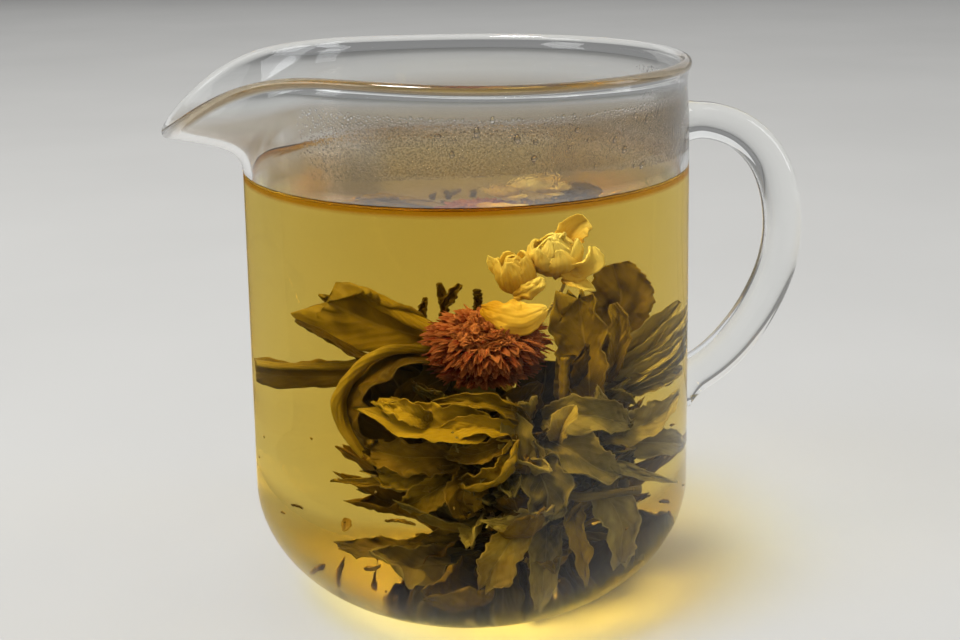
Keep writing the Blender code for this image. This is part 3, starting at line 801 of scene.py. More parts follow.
def hold_inside(verts):
    """Moves points that lie too near the glass back into the tea, and clear of the mouth when lifted."""
    verts = verts.copy()
    radius = np.hypot(verts[:, 0], verts[:, 1])
    lowest = np.interp(radius, LOW_RADII, LOW_LEVELS) + WALL_CLEARANCE
    room = np.minimum(np.interp(verts[:, 2], LOW_LEVELS, LOW_RADII) - WALL_CLEARANCE, MOUTH_REACH)
    verts[:, 2] = np.where(radius < STEEP_RADIUS, np.maximum(verts[:, 2], lowest), verts[:, 2])
    squeeze = np.minimum(1.0, room / np.maximum(radius, 1e-6))
    verts[:, :2] *= np.where(radius >= STEEP_RADIUS, squeeze, 1.0)[:, None]
    verts[:, 2] = np.maximum(verts[:, 2], FLOOR + WALL_CLEARANCE)
    return verts


class Heap:
    """Gathers closed blades and tubes in the bloom's axes, and makes one piece of them."""

    def __init__(self, *shapes):
        self.shapes = list(shapes)

    def add(self, *shapes):
        self.shapes += shapes

    def make(self, name, material, slot, stands_for=(), body="bloom", turned=True, held=True):
        verts, faces, uvs, tones = zip(*self.shapes)
        first = np.concatenate([[0], np.cumsum([len(block) for block in verts])])
        faces = [tuple(start + i for i in face)
                 for start, block in zip(first.tolist(), faces) for face in block]
        verts = np.concatenate([np.array(block) for block in verts])
        if turned:
            verts = verts @ np.array(BLOOM_AXES.to_3x3()).T
        if held:
            verts = hold_inside(verts)
        piece = mesh_object(name, verts, faces, np.concatenate(uvs), {"tone": np.concatenate(tones)})
        finish_piece(piece, material, body, stands_for)


def leaf(name, material, slot, stands_for, *blades):
    """One piece of blades, each given as its path, width, facing, seed and settings."""
    Heap(*(blade(*shape, **settings) for *shape, settings in blades)).make(name, material, slot, stands_for)


# ---------------- the leaves

BUNDLE_X = 8.0
BUNDLE_Y = -1.0

# Leaf tiers: count, first azimuth, base radius, base height, start and end pitch, length, width.
TIERS = (
    ("outer_leaf", 9, 12.0, 8.2, 13.0, -12.0, 30.0, 25.0, 13.0),
    ("middle_leaf", 9, 32.0, 8.4, 20.0, 14.0, 34.0, 26.0, 14.0),
    ("inner_leaf", 8, 10.0, 8.2, 28.0, 38.0, 52.0, 24.0, 12.5),
    ("crown_leaf", 6, 40.0, 6.6, 42.0, 62.0, 34.0, 17.0, 8.0),
)


def arched_path(azimuth, radius, height, pitch, end_pitch, length, drift=0.0):
    """Five points that leave the bundle at one pitch and bend evenly to another."""
    spot = np.array([BUNDLE_X, BUNDLE_Y, height]) + radius * np.array(
        [math.cos(math.radians(azimuth)), math.sin(math.radians(azimuth)), 0.0])
    points = [spot]
    for k in range(1, 5):
        share = (k - 0.5) / 4
        slope = math.radians(pitch + (end_pitch - pitch) * share)
        turn = math.radians(azimuth + drift * share)
        level = math.cos(slope)
        ahead = np.array([math.cos(turn) * level, math.sin(turn) * level, math.sin(slope)])
        points.append(points[-1] + ahead * length / 4)
    return points


def facing_up(azimuth, pitch, end_pitch, roll=0.0):
    """The upper side's direction at a blade's start and end, turned about the blade by roll."""
    directions = []
    for slope in (pitch, end_pitch):
        a, s = math.radians(azimuth), math.radians(slope)
        up = np.array([-math.cos(a) * math.sin(s), -math.sin(a) * math.sin(s), math.cos(s)])
        across = np.array([-math.sin(a), math.cos(a), 0.0])
        directions.append(up * math.cos(roll) + across * math.sin(roll))
    return directions


def build_tiers(materials):
    """The bundle's own leaves, one piece for each leaf of the CAD model."""
    rng = np.random.default_rng(11)
    for name, count, first, radius, height, pitch, end, length, width in TIERS:
        for k in range(count):
            azimuth = first + 360.0 * k / count + rng.uniform(-7, 7)
            stretch = 1.0 + 0.10 * math.sin(2.3 * k + height)
            steep, last = pitch + rng.uniform(-10, 10), end + rng.uniform(-16, 16)
            path = arched_path(azimuth, radius, height, steep, last, length * stretch, rng.uniform(-30, 30))
            facing = facing_up(azimuth, steep, last, rng.uniform(-0.5, 0.5))
            shape = blade(
                path, width * rng.uniform(0.9, 1.2), facing, int(rng.integers(1 << 30)),
                fold=rng.uniform(0.1, 0.7), roll=(rng.uniform(-1, 2.8), rng.uniform(-1, 2.8)),
                ripple=0.3, crinkle=0.35, teeth=int(rng.integers(9, 18)), tear=rng.uniform(0.4, 1.6),
                widest=rng.uniform(0.4, 0.6), blunt=rng.uniform(0.0, 0.4), tone=rng.uniform(0.2, 0.8))
            material = materials[int(rng.integers(3))]
            Heap(shape).make(f"{name}_{k + 1}_blade", material, "dark_leaf", (f"{name}_{k + 1}",))


# Loose leaves packed between the tiers: name, count, azimuths, radius, height, pitch, end pitch,
# length and width, each with the range it is drawn from.
PACKED = (
    ("bottom_leaves", 30, (0, 360), (8, 20), (4, 8), (-8, 10), (-12, 25), (10, 17), (4, 8)),
    ("bottom_left_leaves", 7, (150, 260), (16, 26), (4, 6), (-6, 6), (-6, 12), (8, 14), (3, 5)),
    ("skirt_leaves", 22, (0, 360), (5, 9), (8, 16), (-30, 5), (-60, 20), (14, 24), (6, 11)),
    ("waist_leaves", 24, (0, 360), (6, 13), (18, 34), (-5, 40), (10, 80), (15, 25), (8, 13)),
    ("front_leaves", 34, (215, 340), (9, 17), (26, 48), (-20, 50), (-50, 90), (8, 13), (5, 9)),
    ("front_curls", 46, (200, 345), (13, 19), (28, 54), (-30, 60), (-80, 110), (5, 9), (4, 7)),
    ("shoulder_leaves", 14, (-60, 240), (8, 14), (36, 50), (20, 70), (30, 95), (12, 20), (7, 12)),
)


def build_packed_leaves(dark, grey):
    rng = np.random.default_rng(5)
    for name, count, *ranges in PACKED:
        heaps = [Heap(), Heap()]
        for k in range(count):
            azimuth, radius, height, pitch, end, length, width = (rng.uniform(*span) for span in ranges)
            path = arched_path(azimuth, radius, height, pitch, end, length, rng.uniform(-45, 45))
            facing = facing_up(azimuth, pitch, end, rng.uniform(-0.9, 0.9))
            heaps[k % 2].add(blade(
                path, width, facing, int(rng.integers(1 << 30)), fold=rng.uniform(0.0, 0.8),
                roll=(rng.uniform(-1.5, 3.2), rng.uniform(-1.5, 3.2)), ripple=0.3, crinkle=0.3,
                teeth=int(rng.integers(0, 16)), tear=rng.uniform(0.5, 2.0), widest=rng.uniform(0.35, 0.6),
                blunt=rng.uniform(0.0, 0.35), rows=34, half=8, tone=rng.uniform(0.0, 0.8)))
        for heap, material, mark in zip(heaps, (dark, grey), ("a", "b")):
            heap.make(f"{name}_{mark}", material, "dark_leaf")


def build_long_leaves(dark, olive, pale, grey):
    """The leaves that stand out of the bundle, each shaped by itself."""
    front = ((0, -1, 0.1), (0, -1, 0.1))
    leaf("broad_leaf_blade", olive, "pale_leaf", ("broad_leaf",),
         (((-1, -1, 65), (-9, -2, 67.6), (-17, -2.5, 70.8), (-25.4, -2, 75.6)), 15.0,
          ((0.0, -1, 0.5), (0.05, -1, 0.15)), 21,
          dict(fold=0.03, roll=(-0.25, 4.4), ripple=0.04, crinkle=0.14, tear=1.6, widest=0.86, blunt=0.85,
               stalk=0.2, rows=80, half=17, tone=0.55, curl_power=4.0, shares=(1.05, 1.2), unroll=0.2,
               slant=2.2, swell=0.95)),
         # painted highlight: the rolled ridge along the top gets the brightest tone, for light from above
         (((-21.5, 0, 78.6), (-18.5, -2, 78.4), (-12.5, -3.5, 74.6), (-6.5, -4.5, 70.2), (-1, -5, 66.5)), 5.0,
          ((0, -0.8, 0.8), (0, -0.6, 0.9)), 20,
          dict(fold=-0.35, roll=(-1.0, -1.4), ripple=0.05, crinkle=0.08, widest=0.3, blunt=0.5, stalk=0.5,
               rows=60, half=10, tone=1.05)))
    leaf("narrow_left_leaf", dark, "dark_leaf", (),
         (((-10, -5, 60), (-19, -6, 63), (-25, -6, 67), (-32, -6, 71.6)), 4.0,
          ((0, -0.3, 1), (0, -0.2, 1)), 22,
          dict(fold=0.2, roll=(0.5, 0.5), ripple=0.2, widest=0.7, blunt=0.2, tone=0.15)))
    # painted shade: the strap's blade is the dark leaf material, for its shaded underside
    leaf("strap_leaf_blade", dark, "pale_leaf", ("strap_leaf",),
         (((-8, -4, 59.5), (-18, -4.5, 59.0), (-28, -3, 57.4), (-41.5, 0, 55.6)), 7.6, front, 23,
          dict(fold=-0.12, roll=(-1.6, 0.0), ripple=0.02, crinkle=0.06, widest=0.5, blunt=0.97, stalk=0.95,
               rows=60, half=15, tone=0.75, curl_power=2.4)))
    # painted light: a paler olive margin along the strap's top stands for its lit upper face
    leaf("strap_leaf_margin", olive, "pale_leaf", (),
         (((-8, -5, 63.0), (-18, -5.4, 62.2), (-28, -4, 60.6), (-41.5, -1, 58.6)), 2.6,
          ((0, -0.6, 0.8), (0, -0.6, 0.8)), 37,
          dict(fold=-0.3, roll=(-1.2, -1.2), ripple=0.03, crinkle=0.05, widest=0.5, blunt=0.95, stalk=0.9,
               rows=50, half=7, tone=0.6)))
    loop = ((-3, -6, 62.5), (-9, -9, 65.4), (-15.5, -11, 65.0), (-21, -12, 60.6), (-24.2, -13, 54),
            (-23.2, -14.5, 47.5), (-20.2, -16, 42))
    inward = ((0.1, 0, -1), (1, 0, 0.1))
    leaf("curled_leaf_blade", olive, "pale_leaf", ("curled_leaf",),
         (loop, 5.6, inward, 24,
          dict(fold=-0.3, roll=(2.0, -2.6), ripple=0.15, crinkle=0.15, widest=0.55, blunt=0.5, stalk=0.5,
               rows=80, half=12, thick=0.5, tone=0.75, curl_power=1.2)))
    # painted shade: the curl's inner face is the darkest leaf material with a low tone
    leaf("curled_leaf_inside", dark, "dark_leaf", (),
         ([(x + 0.4, y + 4.5, z - 0.5) for x, y, z in loop], 17.0, inward, 33,
          dict(fold=0.25, roll=(2.3, 0.2), ripple=0.2, crinkle=0.4, widest=0.5, blunt=0.5, stalk=0.6,
               rows=60, half=12, tone=0.3, curl_power=1.0)))
    curled = (1.0, 1.4)
    leaf("shaded_leaves", dark, "dark_leaf", (), *(
        (path, width, front, seed, dict(fold=fold, roll=roll, blunt=blunt, tone=tone))
        for path, width, seed, fold, roll, blunt, tone in (
            (((-2, -3, 44), (-9, -4, 50), (-13, -5, 56), (-15, -5, 62)), 15.0, 34, 0.2, (0, 0), 0.3, 0.35),
            (((4, -4, 46), (0, -5, 52), (-3, -5, 58), (-5, -5, 64)), 14.0, 35, 0.2, (0, 0), 0.4, 0.4),
            (((-14, -7, 44), (-12, -8, 50), (-9, -8, 56), (-3, -8, 60)), 9.0, 36, 0.3, curled, 0.2, 0.25),
            (((9, -3, 44), (12, -5, 50), (13.5, -6, 56), (14, -6, 62)), 13.0, 38, 0.2, (0, 0), 0.4, 0.1),
            (((7, -6, 46), (8, -9, 50), (10, -10, 54), (13, -9, 57.5)), 9.0, 39, 0.3, curled, 0.2, 0.35),
            (((-8, -8, 40), (-13, -10, 44), (-17, -10.5, 49), (-19, -10, 54)), 10.0, 49,
             0.2, (0, 0), 0.3, 0.15),
        )))
    leaf("serrated_leaf_blade", olive, "pale_leaf", ("serrated_leaf",),
         (((20, 1, 56), (24, 4, 64), (26.5, 5, 73), (25, 5, 82)), 13.0, ((0.1, -1, 0.1), (0.2, -1, 0.1)), 25,
          dict(fold=0.15, roll=(0.3, 0.5), ripple=0.15, crinkle=0.4, teeth=17, widest=0.55, blunt=0.45,
               stalk=0.4, rows=90, half=13, tone=0.6)))
    leaf("folded_leaf_blade", olive, "pale_leaf", ("folded_leaf",),
         (((22.4, -13, 52), (22.3, -11, 58), (21.5, -8.5, 65), (20.5, -7.5, 72), (20, -7, 77)), 12.5,
          ((-0.2, -1, 0.3), (-0.25, -1, 0.4)), 26,
          dict(fold=0.3, roll=(1.0, 1.2), ripple=0.2, crinkle=0.35, tear=1.8, widest=0.7, blunt=0.7,
               stalk=0.35, rows=70, half=13, tone=0.65)))
    leaf("narrow_right_leaf", olive, "pale_leaf", (),
         (((25, -6, 56), (27, -4, 63), (27.5, -3, 69), (26, -2, 74)), 6.0,
          ((0.3, -1, 0.1), (0.2, -1, 0.1)), 27,
          dict(fold=0.5, roll=(0.5, 1.5), teeth=9, widest=0.6, blunt=0.3, stalk=0.4, tone=0.65)))
    leaf("rolled_leaf", olive, "pale_leaf", (),
         (((17.5, -13, 50), (17.6, -14, 57), (17.8, -14, 64.3)), 13.0, front, 28,
          dict(fold=-0.5, cup=-2.7, ripple=0.05, crinkle=0.1, widest=0.4, blunt=0.9, stalk=0.8, tone=0.6)))
    leaf("sprig_buds", dark, "pale_leaf", ("sprig",), *(
        (path, width, front, seed, dict(rows=30, half=6, **settings)) for path, width, seed, settings in (
            (((-4.5, 2, 70), (-4.2, 3, 74), (-1.6, 3, 79)), 3.2, 29,
             dict(fold=0.7, roll=(1, 1), ripple=0.3, widest=0.7, blunt=0.5, tone=0.5)),
            (((-4.3, 2.4, 72), (-4.6, 3, 75.5), (-5.2, 3, 79.3)), 2.2, 30,
             dict(fold=0.7, ripple=0.3, widest=0.6, blunt=0.4, tone=0.5)),
            (((-8, 3, 69), (-8.3, 4, 72), (-7.6, 4, 75.6)), 2.2, 31,
             dict(fold=0.8, ripple=0.3, widest=0.4, blunt=0.4, tone=0.3)),
            (((1.2, 3, 71), (1.6, 4, 74), (1.4, 4, 77.4)), 1.9, 32,
             dict(fold=0.8, widest=0.4, blunt=0.6, tone=0.2)),
        )))

    fan = Heap()
    ends = ((45, 2, 66), (44, 1, 62.5), (43, 2, 59), (44, 4, 70), (42, -2, 55), (38, 5, 70.5), (41, 8, 66))
    for k, end in enumerate(ends):
        start = (20 + k % 3, -3 + k, 50 + k)
        middle = ((start[0] + end[0]) / 2, (start[1] + end[1]) / 2 - 2, (start[2] + end[2]) / 2 - 0.5)
        fan.add(blade((start, middle, end), 6.5 + 0.7 * (k % 3), ((0.1, -0.8, 0.6 - 0.2 * k), (0, -1, 0.3)),
                      40 + k, fold=0.55, roll=(0.5, 1.2), ripple=0.25, widest=0.6, blunt=0.25, stalk=0.4,
                      rows=50, tone=0.6 + 0.1 * (k % 4)))
    fan.make("right_fan_leaves", grey, "pale_leaf")
    leaf("yellow_tip_leaf", pale, "pale_leaf", (),
         (((17.2, -23.5, 47.8), (17.6, -24.6, 50), (18.6, -24.8, 52.6), (20.4, -22.5, 55.4)), 6.8,
          ((-0.3, -1, 0.1), (-0.2, -1, 0.2)), 51,
          dict(fold=0.85, teeth=7, widest=0.5, blunt=0.15, stalk=0.3, rows=50, half=9, tone=0.7,
               crinkle=0.15)))


def build_front_leaves(dark, olive, pale, grey):
    """Large leaves on the camera's side of the bundle, from the left round to the right."""
    usual = dict(fold=0.4, ripple=0.3, crinkle=0.3, tear=1.2, stalk=0.4, rows=60, half=11, teeth=9)
    shapes = (
        # painted light: the cheek and cheek tip leaves get tones of 1 and over, brightest of all, for light
        # from above
        ("cheek_leaf", olive, ((4, -19, 50.2), (-2, -20.8, 50.4), (-9, -20.5, 51.2), (-17.5, -16.5, 54)), 14,
         ((0, -1, 0.8), (-0.2, -1, 0.8)), dict(roll=(0.5, 1.0), blunt=0.6, tear=2.4, tone=1.15, ripple=0.35)),
        ("cheek_tip_leaf", olive, ((-8, -20.5, 51.5), (-11, -21, 53.8), (-16, -19, 55.6)), 8,
         ((0.1, -1, 0.6), (0, -1, 0.8)), dict(roll=(0.5, 1.5), blunt=0.3, tone=1.0, rows=40)),
        ("chin_leaf", olive, ((11, -16.5, 49), (8, -19.5, 54), (1, -20.5, 56.6), (-7, -18, 55.6)), 7,
         ((-0.2, -1, 0.5), (0, -0.9, 0.9)), dict(roll=(1.4, 2.6), blunt=0.3, tone=0.45)),
        # painted light: a tone over 1, for light from above
        ("lip_leaf", olive, ((9, -19, 47.5), (5, -21.8, 50.4), (0, -22, 51), (-5, -21, 49.2)), 8,
         ((0, -1, 0.9), (-0.1, -1, 0.7)), dict(roll=(0.4, 1.6), teeth=8, blunt=0.55, tear=1.6, tone=1.1)),
        ("cup_leaf", olive, ((-2, -21, 36.5), (3, -25, 38), (7.5, -26, 41.5), (9, -24, 47)), 11,
         ((-0.2, -1, 0.8), (-0.9, -0.8, 0.3)), dict(cup=1.1, roll=(0.5, 1.4), blunt=0.4, tone=0.75)),
        ("inner_cup_leaf", dark, ((8, -22.5, 47.5), (4, -23.5, 46), (0, -22.5, 44.5), (-4, -20, 44)), 9.5,
         ((0, -1, 0.2), (-0.2, -1, 0.2)), dict(cup=0.5, roll=(1.4, 0.5), blunt=0.3, tone=0.5)),
        ("left_wing_leaf", olive, ((-2, -18, 40), (-5, -20.5, 37), (-9, -21, 34), (-12.5, -20, 31)), 10,
         ((0.1, -1, 0.3), (0.2, -1, 0.3)), dict(roll=(0.3, 0.5), blunt=0.6, tone=0.42)),
        ("lower_wing_leaf", dark, ((1, -19, 40), (-1, -22, 36.5), (-1.5, -23, 33.5), (0, -22, 30.5)), 11,
         ((0.1, -1, 0.2), (0.1, -1, 0.1)), dict(roll=(0.6, 0.3), blunt=0.5, tone=0.6)),
        ("left_low_leaf", dark, ((-1, -18.5, 42.5), (-8, -19.5, 43), (-14, -18, 42.8), (-19, -15, 43.5)), 12,
         ((0, -1, 0.3), (-0.3, -1, 0.3)), dict(roll=(0.6, 1.0), blunt=0.6, tear=2.0, tone=0.65)),
        ("left_flat_leaf", olive, ((-4, -18, 39), (-9, -18.8, 38.6), (-15, -17, 38), (-18, -15.5, 38.4)),
         10.5, ((0, -1, 0.4), (-0.2, -1, 0.3)), dict(roll=(0.3, 0.9), blunt=0.6, tear=2.0, tone=0.45)),
        ("left_rib_leaf", dark, ((-6, -17, 37.5), (-14, -17, 36.2), (-20, -15, 35.2), (-26, -12.5, 34.4)),
         3.8, ((0, -1, 0.4), (0, -1, 0.4)), dict(roll=(1.5, 1.5), blunt=0.0, tone=0.7)),
        ("throat_leaf", grey, ((9, -14, 30), (10, -20, 38), (9, -21, 46), (7, -18, 55)), 12,
         ((0.3, -1, 0), (0.2, -1, 0.2)), dict(roll=(0.6, 0.9), blunt=0.2, tone=0.35)),
        ("front_apron_leaf", grey, ((9, -17, 42), (13, -23, 40), (15, -26, 35.5), (14.5, -26.5, 30)), 15,
         ((0, -1, 0.6), (0, -1, 0.1)), dict(roll=(0.5, 1.6), blunt=0.5, tear=1.6, tone=0.1, widest=0.6)),
        ("under_apron_leaf", grey, ((18, -20, 32.5), (13, -24.5, 29.5), (8, -25, 28), (2, -23.5, 28.6)), 6.5,
         ((0, -1, 0.5), (0, -1, 0.3)), dict(roll=(0.5, 0.5), blunt=0.1, tone=0.75, ripple=0.4)),
        ("right_apron_leaf", grey, ((14, -16, 46), (20, -22, 44), (25, -23, 40), (29, -20, 37)), 14,
         ((0.1, -1, 0.5), (0.3, -1, 0.4)), dict(roll=(0.6, 1.2), teeth=12, blunt=0.2, tone=0.4)),
        ("right_cheek_leaf", grey, ((14, -14, 50), (20, -19, 52), (25, -18, 51), (30, -13, 47)), 12,
         ((0.0, -1, 0.5), (0.3, -1, 0.4)), dict(roll=(0.8, 0.8), teeth=11, blunt=0.3, tone=0.5)),
        ("right_wing_leaf", grey, ((20, -9, 45), (28, -11, 45), (35, -9, 46), (41, -5, 50)), 13,
         ((0.1, -1, 0.4), (0.3, -1, 0.3)), dict(roll=(0.6, 1.0), teeth=12, blunt=0.2, tone=0.6)),
        ("far_wing_leaf", grey, ((22, -6, 41), (31, -9, 41), (38, -7, 39), (43, -3, 36)), 12,
         ((0.2, -1, 0.4), (0.4, -1, 0.2)), dict(roll=(0.5, 0.9), teeth=9, blunt=0.2, tone=0.55)),
        ("pale_skirt_leaf", pale, ((9.6, -19, 29), (8, -23.5, 25), (5.5, -25, 20), (2.5, -24, 15)), 11,
         ((0, -1, 0.2), (0, -1, 0.1)), dict(roll=(0.2, 0.4), blunt=0.3, tone=0.45, widest=0.7)),
        ("right_skirt_leaf", grey, ((24, -16, 33), (28, -19, 29), (30, -19, 23), (29, -17, 16.5)), 12,
         ((0.2, -1, 0.2), (0.3, -1, 0.0)), dict(roll=(0.5, 0.9), blunt=0.4, tone=0.6, tear=1.2)),
        ("mid_skirt_leaf", olive, ((19, -18, 32), (20, -23, 28), (21.5, -25, 22), (22.5, -24, 15)), 7,
         ((0.1, -1, 0.1), (0.1, -1, 0.0)), dict(roll=(1.4, 1.4), blunt=0.2, tone=0.8)),
        ("low_skirt_leaf", grey, ((14, -15, 26), (14.5, -22, 22), (14, -25, 17), (13, -25, 12)), 10,
         ((0.1, -1, 0.2), (0, -1, 0.1)), dict(roll=(0.8, 0.8), blunt=0.3, tone=0.45)),
        ("tapered_leaf", grey, ((20, -17, 40), (27, -17, 38.4), (34, -13, 33.5), (41, -8, 28.6)), 4.2,
         ((0, -0.8, 0.6), (0, -0.8, 0.6)), dict(roll=(0.6, 0.6), blunt=0.0, tone=0.6, stalk=0.8, widest=0.3)),
    )
    for seed, (name, material, path, width, facing, options) in enumerate(shapes, start=70):
        slot = "dark_leaf" if material is dark else "pale_leaf"
        leaf(name, material, slot, (), (path, 0.85 * width, facing, seed, {**usual, **options}))


def build_stalks(dark, twig_bark):
    """The tied stalks at the heart of the bundle, and the twig that points to the right."""
    low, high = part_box("leaf_core")
    bottom, top = low[2] / MM, high[2] / MM
    rng = np.random.default_rng(3)
    stalks = Heap()
    for k in range(19):
        spread = 0.0 if k == 0 else (2.6 if k < 7 else 4.9)  # one in the middle, 6 round it, then 12
        turn = TURN * (k / 6 if k < 7 else k / 12) + rng.uniform(-0.1, 0.1)
        lean = rng.uniform(-0.5, 0.5)
        path = []
        for share in np.linspace(0, 1, 6):
            reach = spread * (1.0 - 0.28 * math.sin(math.pi * share))
            path.append((BUNDLE_X + reach * math.cos(turn + lean * share),
                         BUNDLE_Y + reach * math.sin(turn + lean * share), bottom + (top - bottom) * share))
        radius = 1.25 + 0.14 * sway(rng, np.linspace(0, 1, 40), 1, 6)
        stalks.add(tube(path, radius, 40, 10, tone=rng.uniform(0.2, 0.7)))
    stalks.make("stalk_bundle", dark, "dark_leaf", ("leaf_core",))
    along = np.linspace(0, 1, 60)
    thickness = 1.05 + 0.08 * np.sin(TURN * 2.2 * along) + 0.25 * np.clip(0.2 - along, 0, 1)
    line = ((12, -17, 38), (15.5, -23.5, 36.4), (21, -25.4, 34.2), (28, -23.6, 33.6), (34.4, -20, 32.6))
    Heap(tube(line, thickness, 60, 12, tone=0.55)).make("cut_twig", twig_bark, "pale_leaf")


def twisted_cord(path, radius, pitch, samples):
    """Two plies wound round each other along a path."""
    line = smooth_line(path, samples)
    tangent = unit(np.gradient(line, axis=0))
    first = unit(np.cross(tangent, (0.13, 0.21, 0.97)))
    second = np.cross(tangent, first)
    run = np.concatenate([[0.0], np.cumsum(np.linalg.norm(np.diff(line, axis=0), axis=1))])
    plies = []
    for start in (0.0, math.pi):
        turn = TURN * run / pitch + start
        offset = np.cos(turn)[:, None] * first + np.sin(turn)[:, None] * second
        plies.append(tube(line + 0.5 * radius * offset, 0.52 * radius, samples, 6, smooth=False))
    return plies


THREAD_RADIUS = 0.42
THREAD_PITCH = 1.5
BINDING_TURNS = 5
BINDING_RISE = 0.85  # from one turn to the next


def build_threads(cotton):
    """The cotton that ties the stalks, and the one that the flowers are strung on."""
    low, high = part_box("binding_thread")
    middle = 0.5 * (low[2] + high[2]) / MM
    reach = 0.5 * (high[0] - low[0]) / MM - 0.45
    path = []
    for step in range(BINDING_TURNS * 12 + 1):
        turn = TURN * step / 12
        path.append((BUNDLE_X + reach * math.cos(turn), BUNDLE_Y + reach * math.sin(turn),
                     middle + BINDING_RISE * (step / 12 - BINDING_TURNS / 2)))
    strung = ((9.5, 8.0, 60.0), (12.5, 8.6, 68.0), (15.5, 6.5, 74.5), (17.0, 3.2, 79.0))
    for name, line, samples, node in (("binding_cotton", path, 900, "binding_thread"),
                                      ("blossom_cotton", strung, 110, "blossom_thread")):
        plies = twisted_cord(line, THREAD_RADIUS, THREAD_PITCH, samples)
        Heap(*plies).make(name, cotton, "cotton_thread", (node,))


# ---------------- the flowers


def lumpy_core(middle, radii, seed, rows=14, columns=20, rough=0.08):
    """The uneven closed heart of a flower head, hidden under its petals."""
    rng = np.random.default_rng(seed)
    polar = np.linspace(0, math.pi, rows + 2)[1:-1, None]
    turn = TURN * np.arange(columns)[None, :] / columns
    swell = 1 + rough * rng.standard_normal((rows, columns))
    rings = np.stack([
        middle[0] + radii[0] * swell * np.sin(polar) * np.cos(turn),
        middle[1] + radii[1] * swell * np.sin(polar) * np.sin(turn),
        middle[2] - radii[2] * swell * np.cos(polar) * np.ones_like(turn)], -1)
    verts, faces = closed_loft(
        rings, (middle[0], middle[1], middle[2] - radii[2]), (middle[0], middle[1], middle[2] + radii[2]))
    return verts, faces, np.zeros((len(verts), 2)), np.full(len(verts), 0.1)


BRACTS = 1500
AMARANTH_MIDDLE = np.array([3.0, -8.0, 66.2])
AMARANTH_RADII = np.array([13.6, 12.6, 10.6])
AMARANTH_AXIS = (0.05, -0.62, 0.78)


def build_amaranth(material):
    """The globe amaranth: rings of pointed papery bracts, cupped in the middle and long at the sides."""
    middle, radii, axis = AMARANTH_MIDDLE, AMARANTH_RADII, unit(AMARANTH_AXIS)
    rng = np.random.default_rng(8)
    head = Heap(lumpy_core(middle, radii * 0.5, 4))
    first = unit(np.cross(axis, (1, 0, 0)))
    second = np.cross(axis, first)
    for k in range(BRACTS):
        height = 1 - 2 * (k + 0.5) / BRACTS
        turn = GOLDEN_TURN * k
        flat = math.sqrt(1 - height * height)
        ray = axis * height + flat * (math.cos(turn) * first + math.sin(turn) * second)
        ray = unit(ray + rng.normal(0, 0.10, 3))
        lift = axis * flat * (0.30 if height > 0 else -0.15)
        reach = 1 / np.linalg.norm(ray / radii)
        crown = float(np.clip((height - 0.35) / 0.4, 0, 1))
        tip = reach * (1 - 0.20 * crown) * rng.uniform(0.78, 1.0)
        start = middle + ray * reach * 0.46
        bend = middle + unit(ray + lift) * (0.48 * reach * 0.46 + 0.52 * tip) + 0.3 * lift
        curl = crown * (1.6 * unit(rng.normal(0, 1, 3)) - 0.8 * ray)
        end = middle + unit(ray + 0.35 * lift) * tip + curl
        fine = k % 3 == 0
        wide = (0.6 if fine else 1.7 + 0.5 * crown) * rng.uniform(0.8, 1.2)
        if not fine:
            end = end - 0.07 * tip * ray
        # painted top light: the bracts grow paler towards the crown and darker underneath
        tone = 0.25 + 0.60 * crown + rng.uniform(-0.2, 0.2)
        head.add(blade(
            (start, bend, end), wide, (axis + 0.01 * ray, axis + 0.3 * ray - crown * ray),
            int(rng.integers(1 << 30)), fold=0.4, ripple=0.5, crinkle=0.10, widest=0.45 + 0.2 * crown,
            blunt=0.04 if fine else 0.2 + 0.15 * crown, stalk=0.5, rows=9, half=3, thick=0.14, tone=tone))
    head.make("amaranth_bracts", material, "amaranth_red", ("amaranth_head",))


def petal_round(middle, axis, turn, spread, length, width, seed, swirl=0.0, lean=0.0, **options):
    """A cupped petal that starts behind the flower, bulges out and ends near its axis."""
    axis = unit(axis)
    first = unit(np.cross(axis, (0.2, 0.1, 1)))
    second = np.cross(axis, first)

    def outward(angle):
        return math.cos(angle) * first + math.sin(angle) * second

    path = [np.array(middle, float) + axis * ahead * length + outward(turn + swirl * share) * reach * spread
            for share, ahead, reach in ((0.0, -0.50, 0.12), (0.3, -0.28, 0.80), (0.7, 0.12, 1.0),
                                        (1.0, 0.50, 0.35 + lean))]
    out = outward(turn + 0.5 * swirl)
    settings = dict(fold=0.0, cup=-1.0, ripple=0.12, crinkle=0.12, widest=0.6, blunt=0.25, stalk=0.25,
                    rows=30, half=8, thick=0.4, tone=0.5)
    return blade(path, width, (out - 0.3 * axis, out + 0.5 * axis), seed, **{**settings, **options})


LARGE_JASMINE = (15.4, -0.6, 85.6), (-0.02, -0.52, 0.85)  # the middle of the head and its axis
SMALL_JASMINE = (8.6, -4.0, 82.2), (-0.15, -0.30, 0.94)


